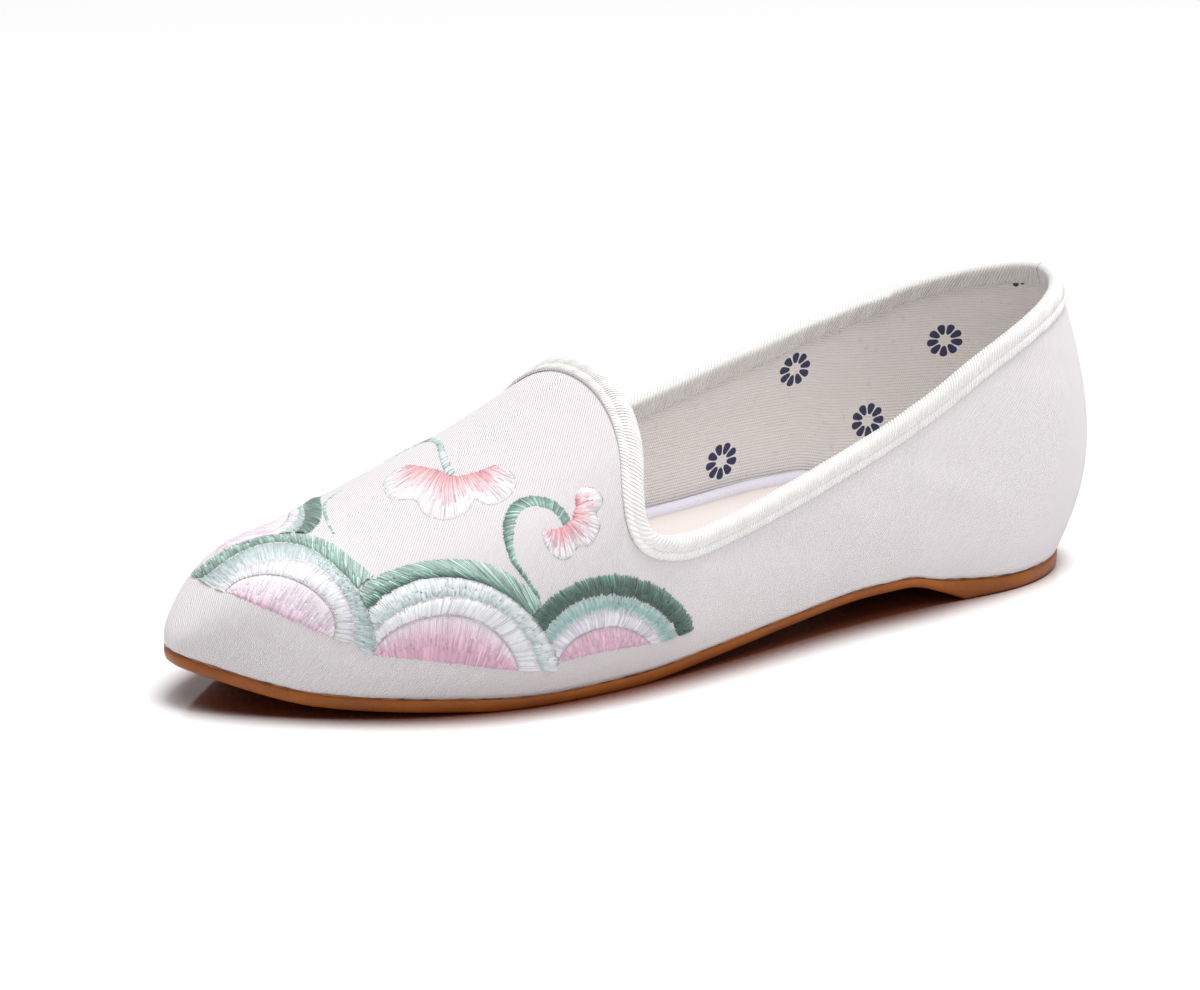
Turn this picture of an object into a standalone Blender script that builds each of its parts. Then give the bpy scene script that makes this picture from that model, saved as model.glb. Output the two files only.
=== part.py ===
"""A left-foot cloth slip-on flat: moulded sole, hollow cloth upper, collar binding, footbed and sock.

Metres, Z up. X points to the toe, Y to the shoe's left, which is the outer side of a left shoe.
The shoe stands on the plane z = 0 and its bounding box is centred over the origin.

Every piece is cut from one last surface, skin(a, v). The number a runs round the sole edge, from the
toe tip along the right side (-1) past the heel back (0) along the left side to the toe tip (+1).
The number v climbs the side of the shoe, from the sole edge (0) to the ridge over the foot (1).
"""
import math

import bpy
import numpy as np

# Sizes of the last, metres
LAST_LENGTH = 0.2405        # sole length from the heel back to the toe tip
BALL_WIDTH = 0.080          # sole width over the ball of the foot
INSTEP_HEIGHT = 0.0682      # ridge height over the floor under the tongue
TOE_LIFT = 0.0134           # height of the sole's top edge at the toe tip
HEEL_SWELL = 0.0095         # how far the back of the upper swells out behind the sole
SWELL_HEIGHT = 0.078        # height over which that swell runs out

# Sizes of the pieces, metres
SOLE_THICKNESS = 0.0035     # forefoot thickness of the sole
SOLE_BEVEL = 0.0007         # bevel round the sole's lower edge
CLOTH = 0.0018              # upper wall: face cloth, backing and lining together
TAPE = 0.0008               # binding tape thickness
OUTER_LEAF = 0.0053         # binding width on the outside
INNER_LEAF = 0.0050         # binding width on the inside
FOOTBED_RISE = 0.0145       # greatest footbed height over the sole, at the heel
BORDER_WIDTH = 0.0040       # width of the footbed's rising border
BORDER_RISE = 0.0022        # height of that border over the footbed's floor, at the heel
SOCK = 0.0009               # sock thickness
GAP = 0.0003                # clearance between neighbouring pieces
FOOTBED_EASE = 0.0009       # clearance of the footbed's edge inside the upper's wall

# Shares of the sole length
HEEL_ROUND = 0.15           # length of the rounded heel end of the outline
TOE_ROUND = 0.20            # length of the rounded toe end of the outline
NOSE_ROUND = 0.09           # length over which the ridge drops at the toe
SWELL_REACH = 0.35          # length over which the heel swell fades forward
BREAST = 0.175              # front end of the low heel
BREAST_RUN = 0.055          # length of the curve from the heel up to the waist
TOE_TURN_START = 0.55       # from here on the centre line turns inwards
TOE_TURN = -0.092           # sideways turn of the toe tip, share of the ball width

# Powers of the rounded ends
HEEL_POWER = 2.2
TOE_POWER = 2.35
NOSE_POWER = 2.6
BREAST_POWER = 2.2

# Mesh counts
SIDE_COLUMNS = 30           # columns of the upper from the heel back to the throat, each side
TONGUE_COLUMNS = 13         # columns from the throat up the tongue's edge to its peak
VAMP_COLUMNS = 16           # columns from the tongue's peak along the ridge to the toe
ROWS = 12                   # rows of the upper
SOLE_STEPS = 42             # steps along each side of the sole, footbed and sock
BREAST_STEPS = 6            # extra steps along the heel's breast

# Half widths of the sole edge, shares of BALL_WIDTH
OUTLINE = {
    "share": (0.00, 0.08, 0.20, 0.35, 0.50, 0.62, 0.72, 0.82, 0.92, 1.00),
    "left": (0.324, 0.341, 0.342, 0.384, 0.465, 0.512, 0.513, 0.437, 0.319, 0.213),
    "right": (0.325, 0.338, 0.337, 0.325, 0.356, 0.437, 0.488, 0.450, 0.338, 0.237),
}

# Height of the sole's top edge (shares of TOE_LIFT) and sole thickness (shares of SOLE_THICKNESS)
SIDE = {
    "share": (0.00, 0.10, 0.20, 0.25, 0.30, 0.40, 0.50, 0.60, 0.70, 0.80, 0.90, 1.00),
    "edge": (0.322, 0.322, 0.479, 0.663, 0.668, 0.540, 0.393, 0.249, 0.225, 0.323, 0.469, 1.000),
    "sole": (0.80, 0.80, 0.80, 0.80, 0.80, 0.80, 0.89, 0.97, 1.00, 1.00, 1.03, 1.03),
}

# Ridge height over the floor, shares of INSTEP_HEIGHT; behind the tongue it only shapes the walls
RIDGE = {
    "share": (0.00, 0.25, 0.45, 0.55, 0.65, 0.75, 0.85, 0.95, 1.00),
    "height": (1.315, 1.199, 1.079, 1.006, 0.814, 0.658, 0.537, 0.456, 0.326),
}

# Shape of one cross-section: flare of the side, how upright it is, and width of the crown
SECTION = {
    "share": (0.00, 0.10, 0.30, 0.60, 1.00),
    "flare": (0.200, 0.185, 0.114, 0.114, 0.119),
    "upright": (0.609, 0.609, 0.609, 0.648, 0.648),
    "crown": (0.787, 0.787, 0.787, 1.000, 1.000),
}

# Swell of the heel back: height as a share of SWELL_HEIGHT, swell as a share of HEEL_SWELL
SWELL = {
    "height": (0.00, 0.20, 0.42, 0.70, 1.00, 1.40),
    "swell": (0.00, 0.83, 1.00, 0.58, -0.08, -0.60),
}

# Collar line from the heel back to the tongue's peak: share of the length, and v on either side
COLLAR = {
    "share": (0.000, 0.100, 0.250, 0.400, 0.500, 0.557, 0.582, 0.586, 0.576, 0.563, 0.556),
    "left": (0.612, 0.530, 0.364, 0.290, 0.265, 0.285, 0.338, 0.400, 0.545, 0.752, 1.000),
    "right": (0.612, 0.587, 0.518, 0.442, 0.378, 0.358, 0.378, 0.430, 0.560, 0.755, 1.000),
}
THROAT_ROW = 6              # row of COLLAR where the collar turns up to the tongue
THROAT_FOOT = 0.56          # a at the sole edge of the column that meets the throat
PEAK_FOOT = 0.76            # a at the sole edge of the column that meets the tongue's peak
LEAN = 1.4                  # power by which a column bends towards the tongue and the ridge
CROWDING = 1.25             # power by which the rows crowd towards the collar

# Footbed height over the sole, shares of FOOTBED_RISE
FOOTBED = {
    "share": (0.00, 0.25, 0.42, 0.55, 0.70, 0.85, 1.00),
    "rise": (1.00, 1.02, 0.98, 0.86, 0.52, 0.32, 0.14),
}


def slopes(x, y, monotone):
    """Slope at each row: a smooth cubic spline, or one that never overshoots its rows."""
    step = np.diff(x)
    rate = np.diff(y) / step
    count = len(x)
    if monotone:
        slope = np.zeros(count)
        for i in range(1, count - 1):
            if rate[i - 1] * rate[i] > 0:
                slope[i] = 2 * rate[i - 1] * rate[i] / (rate[i - 1] + rate[i])
        slope[0] = rate[0]
        slope[-1] = rate[-1]
        return slope
    matrix = np.zeros((count, count))
    right = np.zeros(count)
    matrix[0, 0] = 1
    matrix[-1, -1] = 1
    right[0] = rate[0] - (rate[1] - rate[0]) * step[0] / (step[0] + step[1])
    right[-1] = rate[-1] + (rate[-1] - rate[-2]) * step[-1] / (step[-1] + step[-2])
    for i in range(1, count - 1):
        matrix[i, i - 1] = step[i]
        matrix[i, i] = 2 * (step[i - 1] + step[i])
        matrix[i, i + 1] = step[i - 1]
        right[i] = 3 * (step[i] * rate[i - 1] + step[i - 1] * rate[i])
    return np.linalg.solve(matrix, right)


def hermite(x, y, slope, at):
    """Cubic curve through the rows with the given slopes."""
    at = np.clip(at, x[0], x[-1])
    i = np.clip(np.searchsorted(x, at) - 1, 0, len(x) - 2)
    step = x[i + 1] - x[i]
    t = (at - x[i]) / step
    start = (1 + 2 * t) * (1 - t) ** 2 * y[i] + t * (1 - t) ** 2 * step * slope[i]
    end = t * t * (3 - 2 * t) * y[i + 1] + t * t * (t - 1) * step * slope[i + 1]
    return start + end


def read(table, column, at, key="share", monotone=False):
    """A table's column as a smooth curve over its key column."""
    x = np.array(table[key])
    y = np.array(table[column])
    return hermite(x, y, slopes(x, y, monotone), np.asarray(at, float))


def rounded(q, power):
    """Superellipse factor: 0 where q is 1, and 1 where q is 0."""
    q = np.clip(q, 0, 1)
    return (1 - q ** power) ** (1 / power)


def share_of(a):
    """Share of the sole length for the round-the-edge number a."""
    return (1 - np.cos(math.pi * np.abs(a))) / 2


def edge_height(share):
    """Height over the floor of the line where the sole meets the upper."""
    return TOE_LIFT * read(SIDE, "edge", share, monotone=True)


def underside(share):
    """Height over the floor of the sole's underside, with the low heel and its curved breast."""
    web = edge_height(share) - SOLE_THICKNESS * read(SIDE, "sole", share, monotone=True)
    q = np.clip((share - BREAST) / BREAST_RUN, 0, 1)
    return np.maximum(web, 0) * (1 - (1 - q) ** BREAST_POWER)


def centre_line(share):
    """Sideways place of the last's centre line."""
    q = np.clip((share - TOE_TURN_START) / (1 - TOE_TURN_START), 0, 1)
    return TOE_TURN * BALL_WIDTH * q ** 2


def half_width(share, left):
    """Signed distance from the centre line to the sole edge."""
    ends = rounded(1 - share / HEEL_ROUND, HEEL_POWER) * rounded((share - 1) / TOE_ROUND + 1, TOE_POWER)
    side = np.where(left, read(OUTLINE, "left", share), -read(OUTLINE, "right", share))
    return BALL_WIDTH * side * ends


def skin(a, v):
    """Point of the upper's outside; v over 1 goes on down the other side of the ridge."""
    a = np.asarray(a, float)
    v = np.asarray(v, float)
    over = v > 1
    a = np.where(over, -a, a)
    v = np.where(over, 2 - v, v)
    share = share_of(a)
    edge = edge_height(share)
    nose = rounded((share - 1) / NOSE_ROUND + 1, NOSE_POWER)
    rise = (INSTEP_HEIGHT * read(RIDGE, "height", share) - edge) * nose
    half = half_width(share, a >= 0)
    flare = np.interp(share, SECTION["share"], SECTION["flare"])
    upright = np.interp(share, SECTION["share"], SECTION["upright"])
    crown = np.interp(share, SECTION["share"], SECTION["crown"])
    b0 = (1 - v) ** 3
    b1 = 3 * v * (1 - v) ** 2
    b2 = 3 * v * v * (1 - v)
    b3 = v ** 3
    y = centre_line(share) + half * (b0 + b1 * (1 + flare) + b2 * crown)
    z = edge + rise * (b1 * upright + b2 + b3)
    swell = HEEL_SWELL * read(SWELL, "swell", (z - edge) / SWELL_HEIGHT, key="height")
    x = LAST_LENGTH * share - swell * np.clip(1 - share / SWELL_REACH, 0, 1) ** 2
    return np.stack([x, y, z], -1)


def tangents(a, v):
    """Slopes of the skin along a and along v, by small differences."""
    small = 1e-3
    a = np.clip(a, small - 1, 1 - small)
    v = np.maximum(v, small)
    along = (skin(np.clip(a + small, -1, 1), v) - skin(np.clip(a - small, -1, 1), v)) / (2 * small)
    climb = (skin(a, v + small) - skin(a, v - small)) / (2 * small)
    return along, climb


def normal(a, v):
    """Outward unit normal of the skin."""
    along, climb = tangents(a, v)
    out = np.cross(climb, along)
    return out / np.linalg.norm(out, axis=-1, keepdims=True)


def collar_side(column):
    """(a, v) of the columns along the collar, from the heel back to the tongue's peak."""
    a = np.arccos(1 - 2 * np.array(COLLAR["share"])) / math.pi
    v = np.array(COLLAR[column])
    side = 1 if column == "left" else -1
    chord = np.linalg.norm(np.diff(skin(side * a, v), axis=0), axis=1)
    length = np.concatenate([[0], np.cumsum(chord)])
    back = np.linspace(0, length[THROAT_ROW], SIDE_COLUMNS + 1)
    tongue = np.linspace(length[THROAT_ROW], length[-1], TONGUE_COLUMNS + 1)[1:]
    at = np.concatenate([back, tongue])
    return hermite(length, a, slopes(length, a, False), at), hermite(length, v, slopes(length, v, False), at)


def collar_ring():
    """The collar line as a closed ring of (a, v): left side to the peak, then back on the right side."""
    left_a, left_v = collar_side("left")
    right_a, right_v = collar_side("right")
    return np.concatenate([left_a, -right_a[-2:0:-1]]), np.concatenate([left_v, right_v[-2:0:-1]])


def down_from(ring_a, ring_v, distance):
    """(a, v) at a distance from the collar line, measured down the skin and square to the line."""
    points = skin(ring_a, ring_v)
    line = np.roll(points, -1, axis=0) - np.roll(points, 1, axis=0)
    along, climb = tangents(ring_a, ring_v)
    down = np.cross(normal(ring_a, ring_v), line)
    down /= np.linalg.norm(down, axis=-1, keepdims=True)
    aa = np.sum(along * along, axis=-1)
    ac = np.sum(along * climb, axis=-1)
    cc = np.sum(climb * climb, axis=-1)
    da = np.sum(down * along, axis=-1)
    dc = np.sum(down * climb, axis=-1)
    det = aa * cc - ac * ac
    step_a = (da * cc - dc * ac) / det
    step_v = (dc * aa - da * ac) / det
    return ring_a + distance * step_a, ring_v + distance * step_v


def upper_shell():
    """Open surface of the upper's outside, from the sole edge to the collar and the ridge."""
    ring_a, ring_v = collar_ring()
    edge_a, edge_v = down_from(ring_a, ring_v, TAPE + GAP)
    peak = SIDE_COLUMNS + TONGUE_COLUMNS
    edge_a[0] = 0
    edge_v[peak] = 1
    ridge_a = np.linspace(edge_a[peak], 1, VAMP_COLUMNS + 1)[1:]
    ridge_v = np.ones(len(ridge_a))
    bottom = np.concatenate([np.linspace(0, THROAT_FOOT, SIDE_COLUMNS + 1),
                             np.linspace(THROAT_FOOT, PEAK_FOOT, TONGUE_COLUMNS + 1)[1:],
                             np.linspace(PEAK_FOOT, 1, VAMP_COLUMNS + 1)[1:]])
    left_a = np.concatenate([edge_a[:peak + 1], ridge_a])
    left_v = np.concatenate([edge_v[:peak + 1], ridge_v])
    right_a = np.concatenate([[0], -edge_a[:peak:-1], [edge_a[peak]], ridge_a])
    right_v = np.concatenate([[edge_v[0]], edge_v[:peak:-1], [1], ridge_v])
    t = 1 - np.linspace(1, 0, ROWS + 1) ** CROWDING
    points = []
    index = {}

    def vertex(side, column, row):
        shared = column == 0 or (column >= peak and row == ROWS)
        key = ("shared" if shared else side, column, row)
        if column == len(bottom) - 1:
            key = "toe tip"
        if key not in index:
            top_a = left_a if side == "left" else right_a
            top_v = left_v if side == "left" else right_v
            a = bottom[column] + t[row] ** LEAN * (top_a[column] - bottom[column])
            sign = 1 if side == "left" else -1
            index[key] = len(points)
            points.append(skin(sign * a, t[row] * top_v[column]))
        return index[key]

    faces = []
    for side in ("left", "right"):
        for column in range(len(bottom) - 1):
            for row in range(ROWS):
                loop = [vertex(side, column, row), vertex(side, column, row + 1),
                        vertex(side, column + 1, row + 1), vertex(side, column + 1, row)]
                loop = list(dict.fromkeys(loop))
                if len(loop) < 3:
                    continue
                faces.append(loop if side == "left" else loop[::-1])
    return np.array(points), faces


def binding_profile():
    """U of the binding tape: (distance down from the collar line, distance out from the skin)."""
    out = GAP + TAPE
    fold = TAPE + GAP
    inside = -CLOTH - out
    slack = -CLOTH - GAP
    soft = 0.3
    return (
        (OUTER_LEAF, out), (OUTER_LEAF * 0.67, out), (OUTER_LEAF * 0.34, out), (fold, out * 0.97),
        (fold * soft, out * (1 - soft)), (0, 0), (0, -CLOTH), (fold * soft, slack - TAPE * (1 - soft)),
        (fold, inside), (INNER_LEAF * 0.34, inside), (INNER_LEAF * 0.67, inside), (INNER_LEAF, inside),
        (INNER_LEAF, slack), (INNER_LEAF * 0.67, slack), (INNER_LEAF * 0.34, slack), (TAPE, slack),
        (TAPE, GAP), (OUTER_LEAF * 0.34, GAP), (OUTER_LEAF * 0.67, GAP), (OUTER_LEAF, GAP),
    )


def binding_ring():
    """Closed tape folded over the collar's edge, all the way round."""
    ring_a, ring_v = collar_ring()
    rows = []
    for distance, out in binding_profile():
        a, v = down_from(ring_a, ring_v, distance)
        rows.append(skin(a, v) + out * normal(a, v))
    points = np.stack(rows, axis=1)
    ring, around = points.shape[:2]
    faces = []
    for i in range(ring):
        for k in range(around):
            j = (i + 1) % ring
            m = (k + 1) % around
            faces.append([i * around + k, i * around + m, j * around + m, j * around + k])
    return points.reshape(-1, 3), faces


def shares_along():
    """Shares of the length used by the sole, footbed and sock."""
    even = share_of(np.linspace(0, 1, SOLE_STEPS + 1))
    breast = BREAST + BREAST_RUN * np.linspace(0, 1, BREAST_STEPS) ** 1.5
    clear = even[np.min(np.abs(even[:, None] - breast[None, :]), axis=1) > 0.004]
    return np.sort(np.concatenate([clear, breast]))


def side_place(share, rise):
    """v at which the skin stands the given rise over the sole edge."""
    levels = np.linspace(0, 0.45, 91)
    found = []
    for one_share, one_rise in zip(share, rise):
        a = np.full(levels.shape, math.acos(1 - 2 * one_share) / math.pi)
        height = skin(a, levels)[:, 2] - edge_height(one_share)
        found.append(np.interp(one_rise, height, levels))
    return np.array(found)


def inset_ring(share, inset, rise):
    """Closed ring round the sole edge, moved in by inset, following the wall's flare up to rise."""
    a = np.arccos(1 - 2 * share) / math.pi
    v = side_place(share, rise)
    ring_a = np.concatenate([a, -a[-2:0:-1]])
    ring_v = np.concatenate([v, v[-2:0:-1]])
    foot = skin(ring_a, np.zeros(len(ring_a)))
    line = np.roll(foot, -1, axis=0) - np.roll(foot, 1, axis=0)
    inward = np.stack([-line[:, 1], line[:, 0]], axis=-1)
    inward /= -np.linalg.norm(inward, axis=-1, keepdims=True)
    place = skin(ring_a, ring_v)[:, :2]
    ring_share = np.concatenate([share, share[-2:0:-1]])
    return place + inset * inward, ring_share


def slab(rows):
    """Closed body from rings stacked from the bottom up; each row is (inset, rise, height over the floor)."""
    share = shares_along()
    last = len(share) - 1
    rings = []
    for inset, rise, height in rows:
        place, ring_share = inset_ring(share, inset, rise(share))
        rings.append(np.column_stack([place, height(ring_share)]))
    points = np.concatenate(rings)
    count = len(rings[0])
    faces = []
    for level in range(len(rings) - 1):
        for i in range(count):
            j = (i + 1) % count
            low = level * count
            faces.append([low + j, low + i, low + count + i, low + count + j])
    top = (len(rings) - 1) * count
    for i in range(last):
        across = [i, i + 1, (count - i - 1) % count, (count - i) % count]
        across = list(dict.fromkeys(across))
        faces.append(across)
        faces.append([top + k for k in reversed(across)])
    return points, faces


def none(share):
    return np.zeros(np.shape(share))


def sole_body():
    """Moulded sole: bevelled lower edge, upright side, top edge along the upper."""
    def bevel_top(share):
        return underside(share) + SOLE_BEVEL

    def top(share):
        return edge_height(share) - GAP / 2

    return slab(((SOLE_BEVEL, none, underside), (0, none, bevel_top), (0, none, top)))


def footbed_rise(share):
    """Height of the footbed's outer edge over the sole."""
    return FOOTBED_RISE * read(FOOTBED, "rise", share, monotone=True)


def footbed_floor(share):
    """Height over the ground of the footbed's floor, inside its border."""
    return edge_height(share) + footbed_rise(share) * (1 - BORDER_RISE / FOOTBED_RISE)


def footbed_body():
    """Padded footbed on the sole, filling the shoe between its walls, with a rising border."""
    inset = CLOTH + FOOTBED_EASE

    def bottom(share):
        return edge_height(share) + GAP / 2

    def middle(share):
        return edge_height(share) + footbed_rise(share) / 2

    def top(share):
        return edge_height(share) + footbed_rise(share)

    def half(share):
        return footbed_rise(share) / 2

    return slab(((inset, none, bottom), (inset, half, middle), (inset, footbed_rise, top),
                 (inset + BORDER_WIDTH, footbed_rise, footbed_floor)))


def sock_body():
    """Thin cloth-covered sock on the footbed's floor, inside the border."""
    inset = CLOTH + FOOTBED_EASE + BORDER_WIDTH + GAP

    def bottom(share):
        return footbed_floor(share) + GAP

    def top(share):
        return bottom(share) + SOCK

    return slab(((inset, footbed_rise, bottom), (inset, footbed_rise, top)))


def material(name, colour, roughness):
    """Plain Principled material."""
    made = bpy.data.materials.new(name)
    made.use_nodes = True
    shader = made.node_tree.nodes["Principled BSDF"]
    shader.inputs["Base Color"].default_value = (*colour, 1)
    shader.inputs["Roughness"].default_value = roughness
    shader.inputs["Metallic"].default_value = 0
    return made


def piece(name, body, shift, look, collection):
    """Mesh object from points and faces, smooth but for its sharp edges."""
    points, faces = body
    mesh = bpy.data.meshes.new(name)
    mesh.from_pydata((points + shift).tolist(), [], faces)
    mesh.polygons.foreach_set("use_smooth", [True] * len(mesh.polygons))
    mesh.set_sharp_from_angle(angle=math.radians(40))
    mesh.materials.append(look)
    mesh.update()
    made = bpy.data.objects.new(name, mesh)
    collection.objects.link(made)
    return made


def build():
    for old in list(bpy.data.objects):
        bpy.data.objects.remove(old, do_unlink=True)
    collection = bpy.data.collections.new("cloth_slip_on_shoe")
    bpy.context.scene.collection.children.link(collection)

    bodies = {
        "outsole": (sole_body(), ((0.21, 0.075, 0.022), 0.45)),
        "upper": (upper_shell(), ((0.78, 0.77, 0.74), 0.85)),
        "collar_binding": (binding_ring(), ((0.82, 0.81, 0.79), 0.80)),
        "footbed": (footbed_body(), ((0.80, 0.79, 0.85), 0.70)),
        "sock": (sock_body(), ((0.72, 0.60, 0.48), 0.90)),
    }
    everything = np.concatenate([body[0] for body, look in bodies.values()])
    low = everything.min(axis=0)
    high = everything.max(axis=0)
    shift = np.array([-(low[0] + high[0]) / 2, -(low[1] + high[1]) / 2, 0])

    for name, (body, (colour, roughness)) in bodies.items():
        made = piece(name, body, shift, material(name + "_look", colour, roughness), collection)
        if name == "upper":
            wall = made.modifiers.new("wall", "SOLIDIFY")
            wall.thickness = CLOTH
            wall.offset = -1
            wall.use_even_offset = True
            wall.use_quality_normals = True


build()
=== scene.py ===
"""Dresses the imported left-foot cloth slip-on in its face cloth, lining, collar tape, satin-stitch
embroidery, footbed, sock and moulded rubber sole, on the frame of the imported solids.

Metres, Z up, X to the toe, Y to the outer side. Every surface is cut from one last, skin(a, v). The number a
runs round the sole edge, from the toe tip along the right side (-1) past the heel back (0) along the left
side to the toe tip (+1). The number v climbs from the sole edge (0) to the ridge over the foot (1), and past
1 it goes down the other side.
"""
import math

import bmesh
import bpy
import numpy as np
from mathutils import Matrix


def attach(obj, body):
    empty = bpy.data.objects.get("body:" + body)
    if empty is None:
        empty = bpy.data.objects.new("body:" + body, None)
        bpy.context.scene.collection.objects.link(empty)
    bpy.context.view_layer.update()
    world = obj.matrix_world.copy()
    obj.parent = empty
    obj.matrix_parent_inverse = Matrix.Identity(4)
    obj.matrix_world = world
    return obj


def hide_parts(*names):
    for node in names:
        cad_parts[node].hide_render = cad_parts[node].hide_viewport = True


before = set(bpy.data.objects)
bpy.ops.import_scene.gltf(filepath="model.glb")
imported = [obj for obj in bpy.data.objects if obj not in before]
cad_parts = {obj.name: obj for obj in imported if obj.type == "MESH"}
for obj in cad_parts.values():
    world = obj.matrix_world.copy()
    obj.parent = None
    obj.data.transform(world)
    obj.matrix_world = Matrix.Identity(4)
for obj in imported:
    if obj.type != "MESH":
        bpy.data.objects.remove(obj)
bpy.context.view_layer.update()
dice = np.random.default_rng(7)
MM = 0.001
TURN = 2 * math.pi

# Sizes of the last and of the pieces, the same as in the solids
LAST_LENGTH = 0.2405
BALL_WIDTH = 0.080
INSTEP_HEIGHT = 0.0682
TOE_LIFT = 0.0134
HEEL_SWELL = 0.0095
SWELL_HEIGHT = 0.078
SOLE_THICKNESS = 0.0035
CLOTH = 0.0018
TAPE = 0.0008
OUTER_LEAF = 0.0053
INNER_LEAF = 0.0050
FOOTBED_RISE = 0.0145
BORDER_WIDTH = 0.0040
BORDER_RISE = 0.0022
SOCK = 0.0009
GAP = 0.0003
FOOTBED_EASE = 0.0009
HEEL_ROUND = 0.15
TOE_ROUND = 0.20
NOSE_ROUND = 0.09
SWELL_REACH = 0.35
BREAST = 0.175
BREAST_RUN = 0.055
TOE_TURN_START = 0.55
TOE_TURN = -0.092
HEEL_POWER = 2.2
TOE_POWER = 2.35
NOSE_POWER = 2.6
BREAST_POWER = 2.2
TO_FRAME = np.array([-0.11545, -0.000415, 0.0])     # from the heel end of the last to the shared frame

# Half widths of the sole edge, shares of BALL_WIDTH
OUTLINE = {
    "share": (0.00, 0.08, 0.20, 0.35, 0.50, 0.62, 0.72, 0.82, 0.92, 1.00),
    "left": (0.324, 0.341, 0.342, 0.384, 0.465, 0.512, 0.513, 0.437, 0.319, 0.213),
    "right": (0.325, 0.338, 0.337, 0.325, 0.356, 0.437, 0.488, 0.450, 0.338, 0.237),
}
# Height of the sole's top edge (shares of TOE_LIFT) and sole thickness (shares of SOLE_THICKNESS)
SIDE = {
    "share": (0.00, 0.10, 0.20, 0.25, 0.30, 0.40, 0.50, 0.60, 0.70, 0.80, 0.90, 1.00),
    "edge": (0.322, 0.322, 0.479, 0.663, 0.668, 0.540, 0.393, 0.249, 0.225, 0.323, 0.469, 1.000),
    "sole": (0.80, 0.80, 0.80, 0.80, 0.80, 0.80, 0.89, 0.97, 1.00, 1.00, 1.03, 1.03),
}
# Ridge height over the floor, shares of INSTEP_HEIGHT
RIDGE = {
    "share": (0.00, 0.25, 0.45, 0.55, 0.65, 0.75, 0.85, 0.95, 1.00),
    "height": (1.315, 1.199, 1.079, 1.006, 0.814, 0.658, 0.537, 0.456, 0.326),
}
# Shape of one cross-section: flare of the side, how upright it is, and width of the crown
SECTION = {
    "share": (0.00, 0.10, 0.30, 0.60, 1.00),
    "flare": (0.200, 0.185, 0.114, 0.114, 0.119),
    "upright": (0.609, 0.609, 0.609, 0.648, 0.648),
    "crown": (0.787, 0.787, 0.787, 1.000, 1.000),
}
# Swell of the heel back
SWELL = {
    "height": (0.00, 0.20, 0.42, 0.70, 1.00, 1.40),
    "swell": (0.00, 0.83, 1.00, 0.58, -0.08, -0.60),
}
# Collar line from the heel back to the tongue's peak
COLLAR = {
    "share": (0.000, 0.100, 0.250, 0.400, 0.500, 0.557, 0.582, 0.586, 0.576, 0.563, 0.556),
    "left": (0.612, 0.530, 0.364, 0.290, 0.265, 0.285, 0.338, 0.400, 0.545, 0.752, 1.000),
    "right": (0.612, 0.587, 0.518, 0.442, 0.378, 0.358, 0.378, 0.430, 0.560, 0.755, 1.000),
}
THROAT_ROW = 6
# Grid of the upper: where the columns of the throat and the peak stand on the sole edge, as a; how late they
# lean, and how close the rows come together at the top
THROAT_FOOT = 0.56
PEAK_FOOT = 0.76
LEAN = 1.4
CROWDING = 1.25
# Footbed height over the sole, shares of FOOTBED_RISE
FOOTBED = {
    "share": (0.00, 0.25, 0.42, 0.55, 0.70, 0.85, 1.00),
    "rise": (1.00, 1.02, 0.98, 0.86, 0.52, 0.32, 0.14),
}
# Soft creases of the cloth: both ends as (side, share, v), half width and height in mm
CREASES = (
    ((1, 0.955, 0.34), (1, 0.925, 0.20), 1.3, -0.22),
    ((1, 0.962, 0.42), (1, 0.940, 0.22), 1.1, 0.16),
    ((1, 0.945, 0.16), (1, 0.905, 0.10), 1.5, -0.18),
    ((1, 0.900, 0.16), (1, 0.850, 0.08), 1.9, 0.16),
    ((1, 0.600, 0.34), (1, 0.560, 0.14), 3.2, -0.35),
    ((1, 0.560, 0.22), (1, 0.470, 0.12), 3.6, 0.30),
    ((1, 0.470, 0.20), (1, 0.360, 0.12), 3.8, -0.32),
    ((1, 0.380, 0.26), (1, 0.290, 0.12), 4.0, 0.30),
    ((1, 0.300, 0.34), (1, 0.200, 0.22), 4.5, -0.35),
    ((1, 0.240, 0.22), (1, 0.120, 0.10), 4.0, 0.35),
    ((1, 0.160, 0.46), (1, 0.060, 0.38), 3.6, -0.30),
    ((-1, 0.560, 0.34), (-1, 0.480, 0.14), 3.6, -0.35),
    ((-1, 0.440, 0.34), (-1, 0.340, 0.18), 4.0, 0.32),
    ((-1, 0.300, 0.44), (-1, 0.180, 0.26), 4.4, -0.36),
    ((-1, 0.140, 0.42), (-1, 0.050, 0.24), 3.8, 0.30),
    ((1, 0.610, 0.86), (-1, 0.620, 0.86), 3.5, -0.30),
    ((1, 0.660, 0.70), (1, 0.600, 0.62), 3.0, 0.22),
)


# The last

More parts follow.
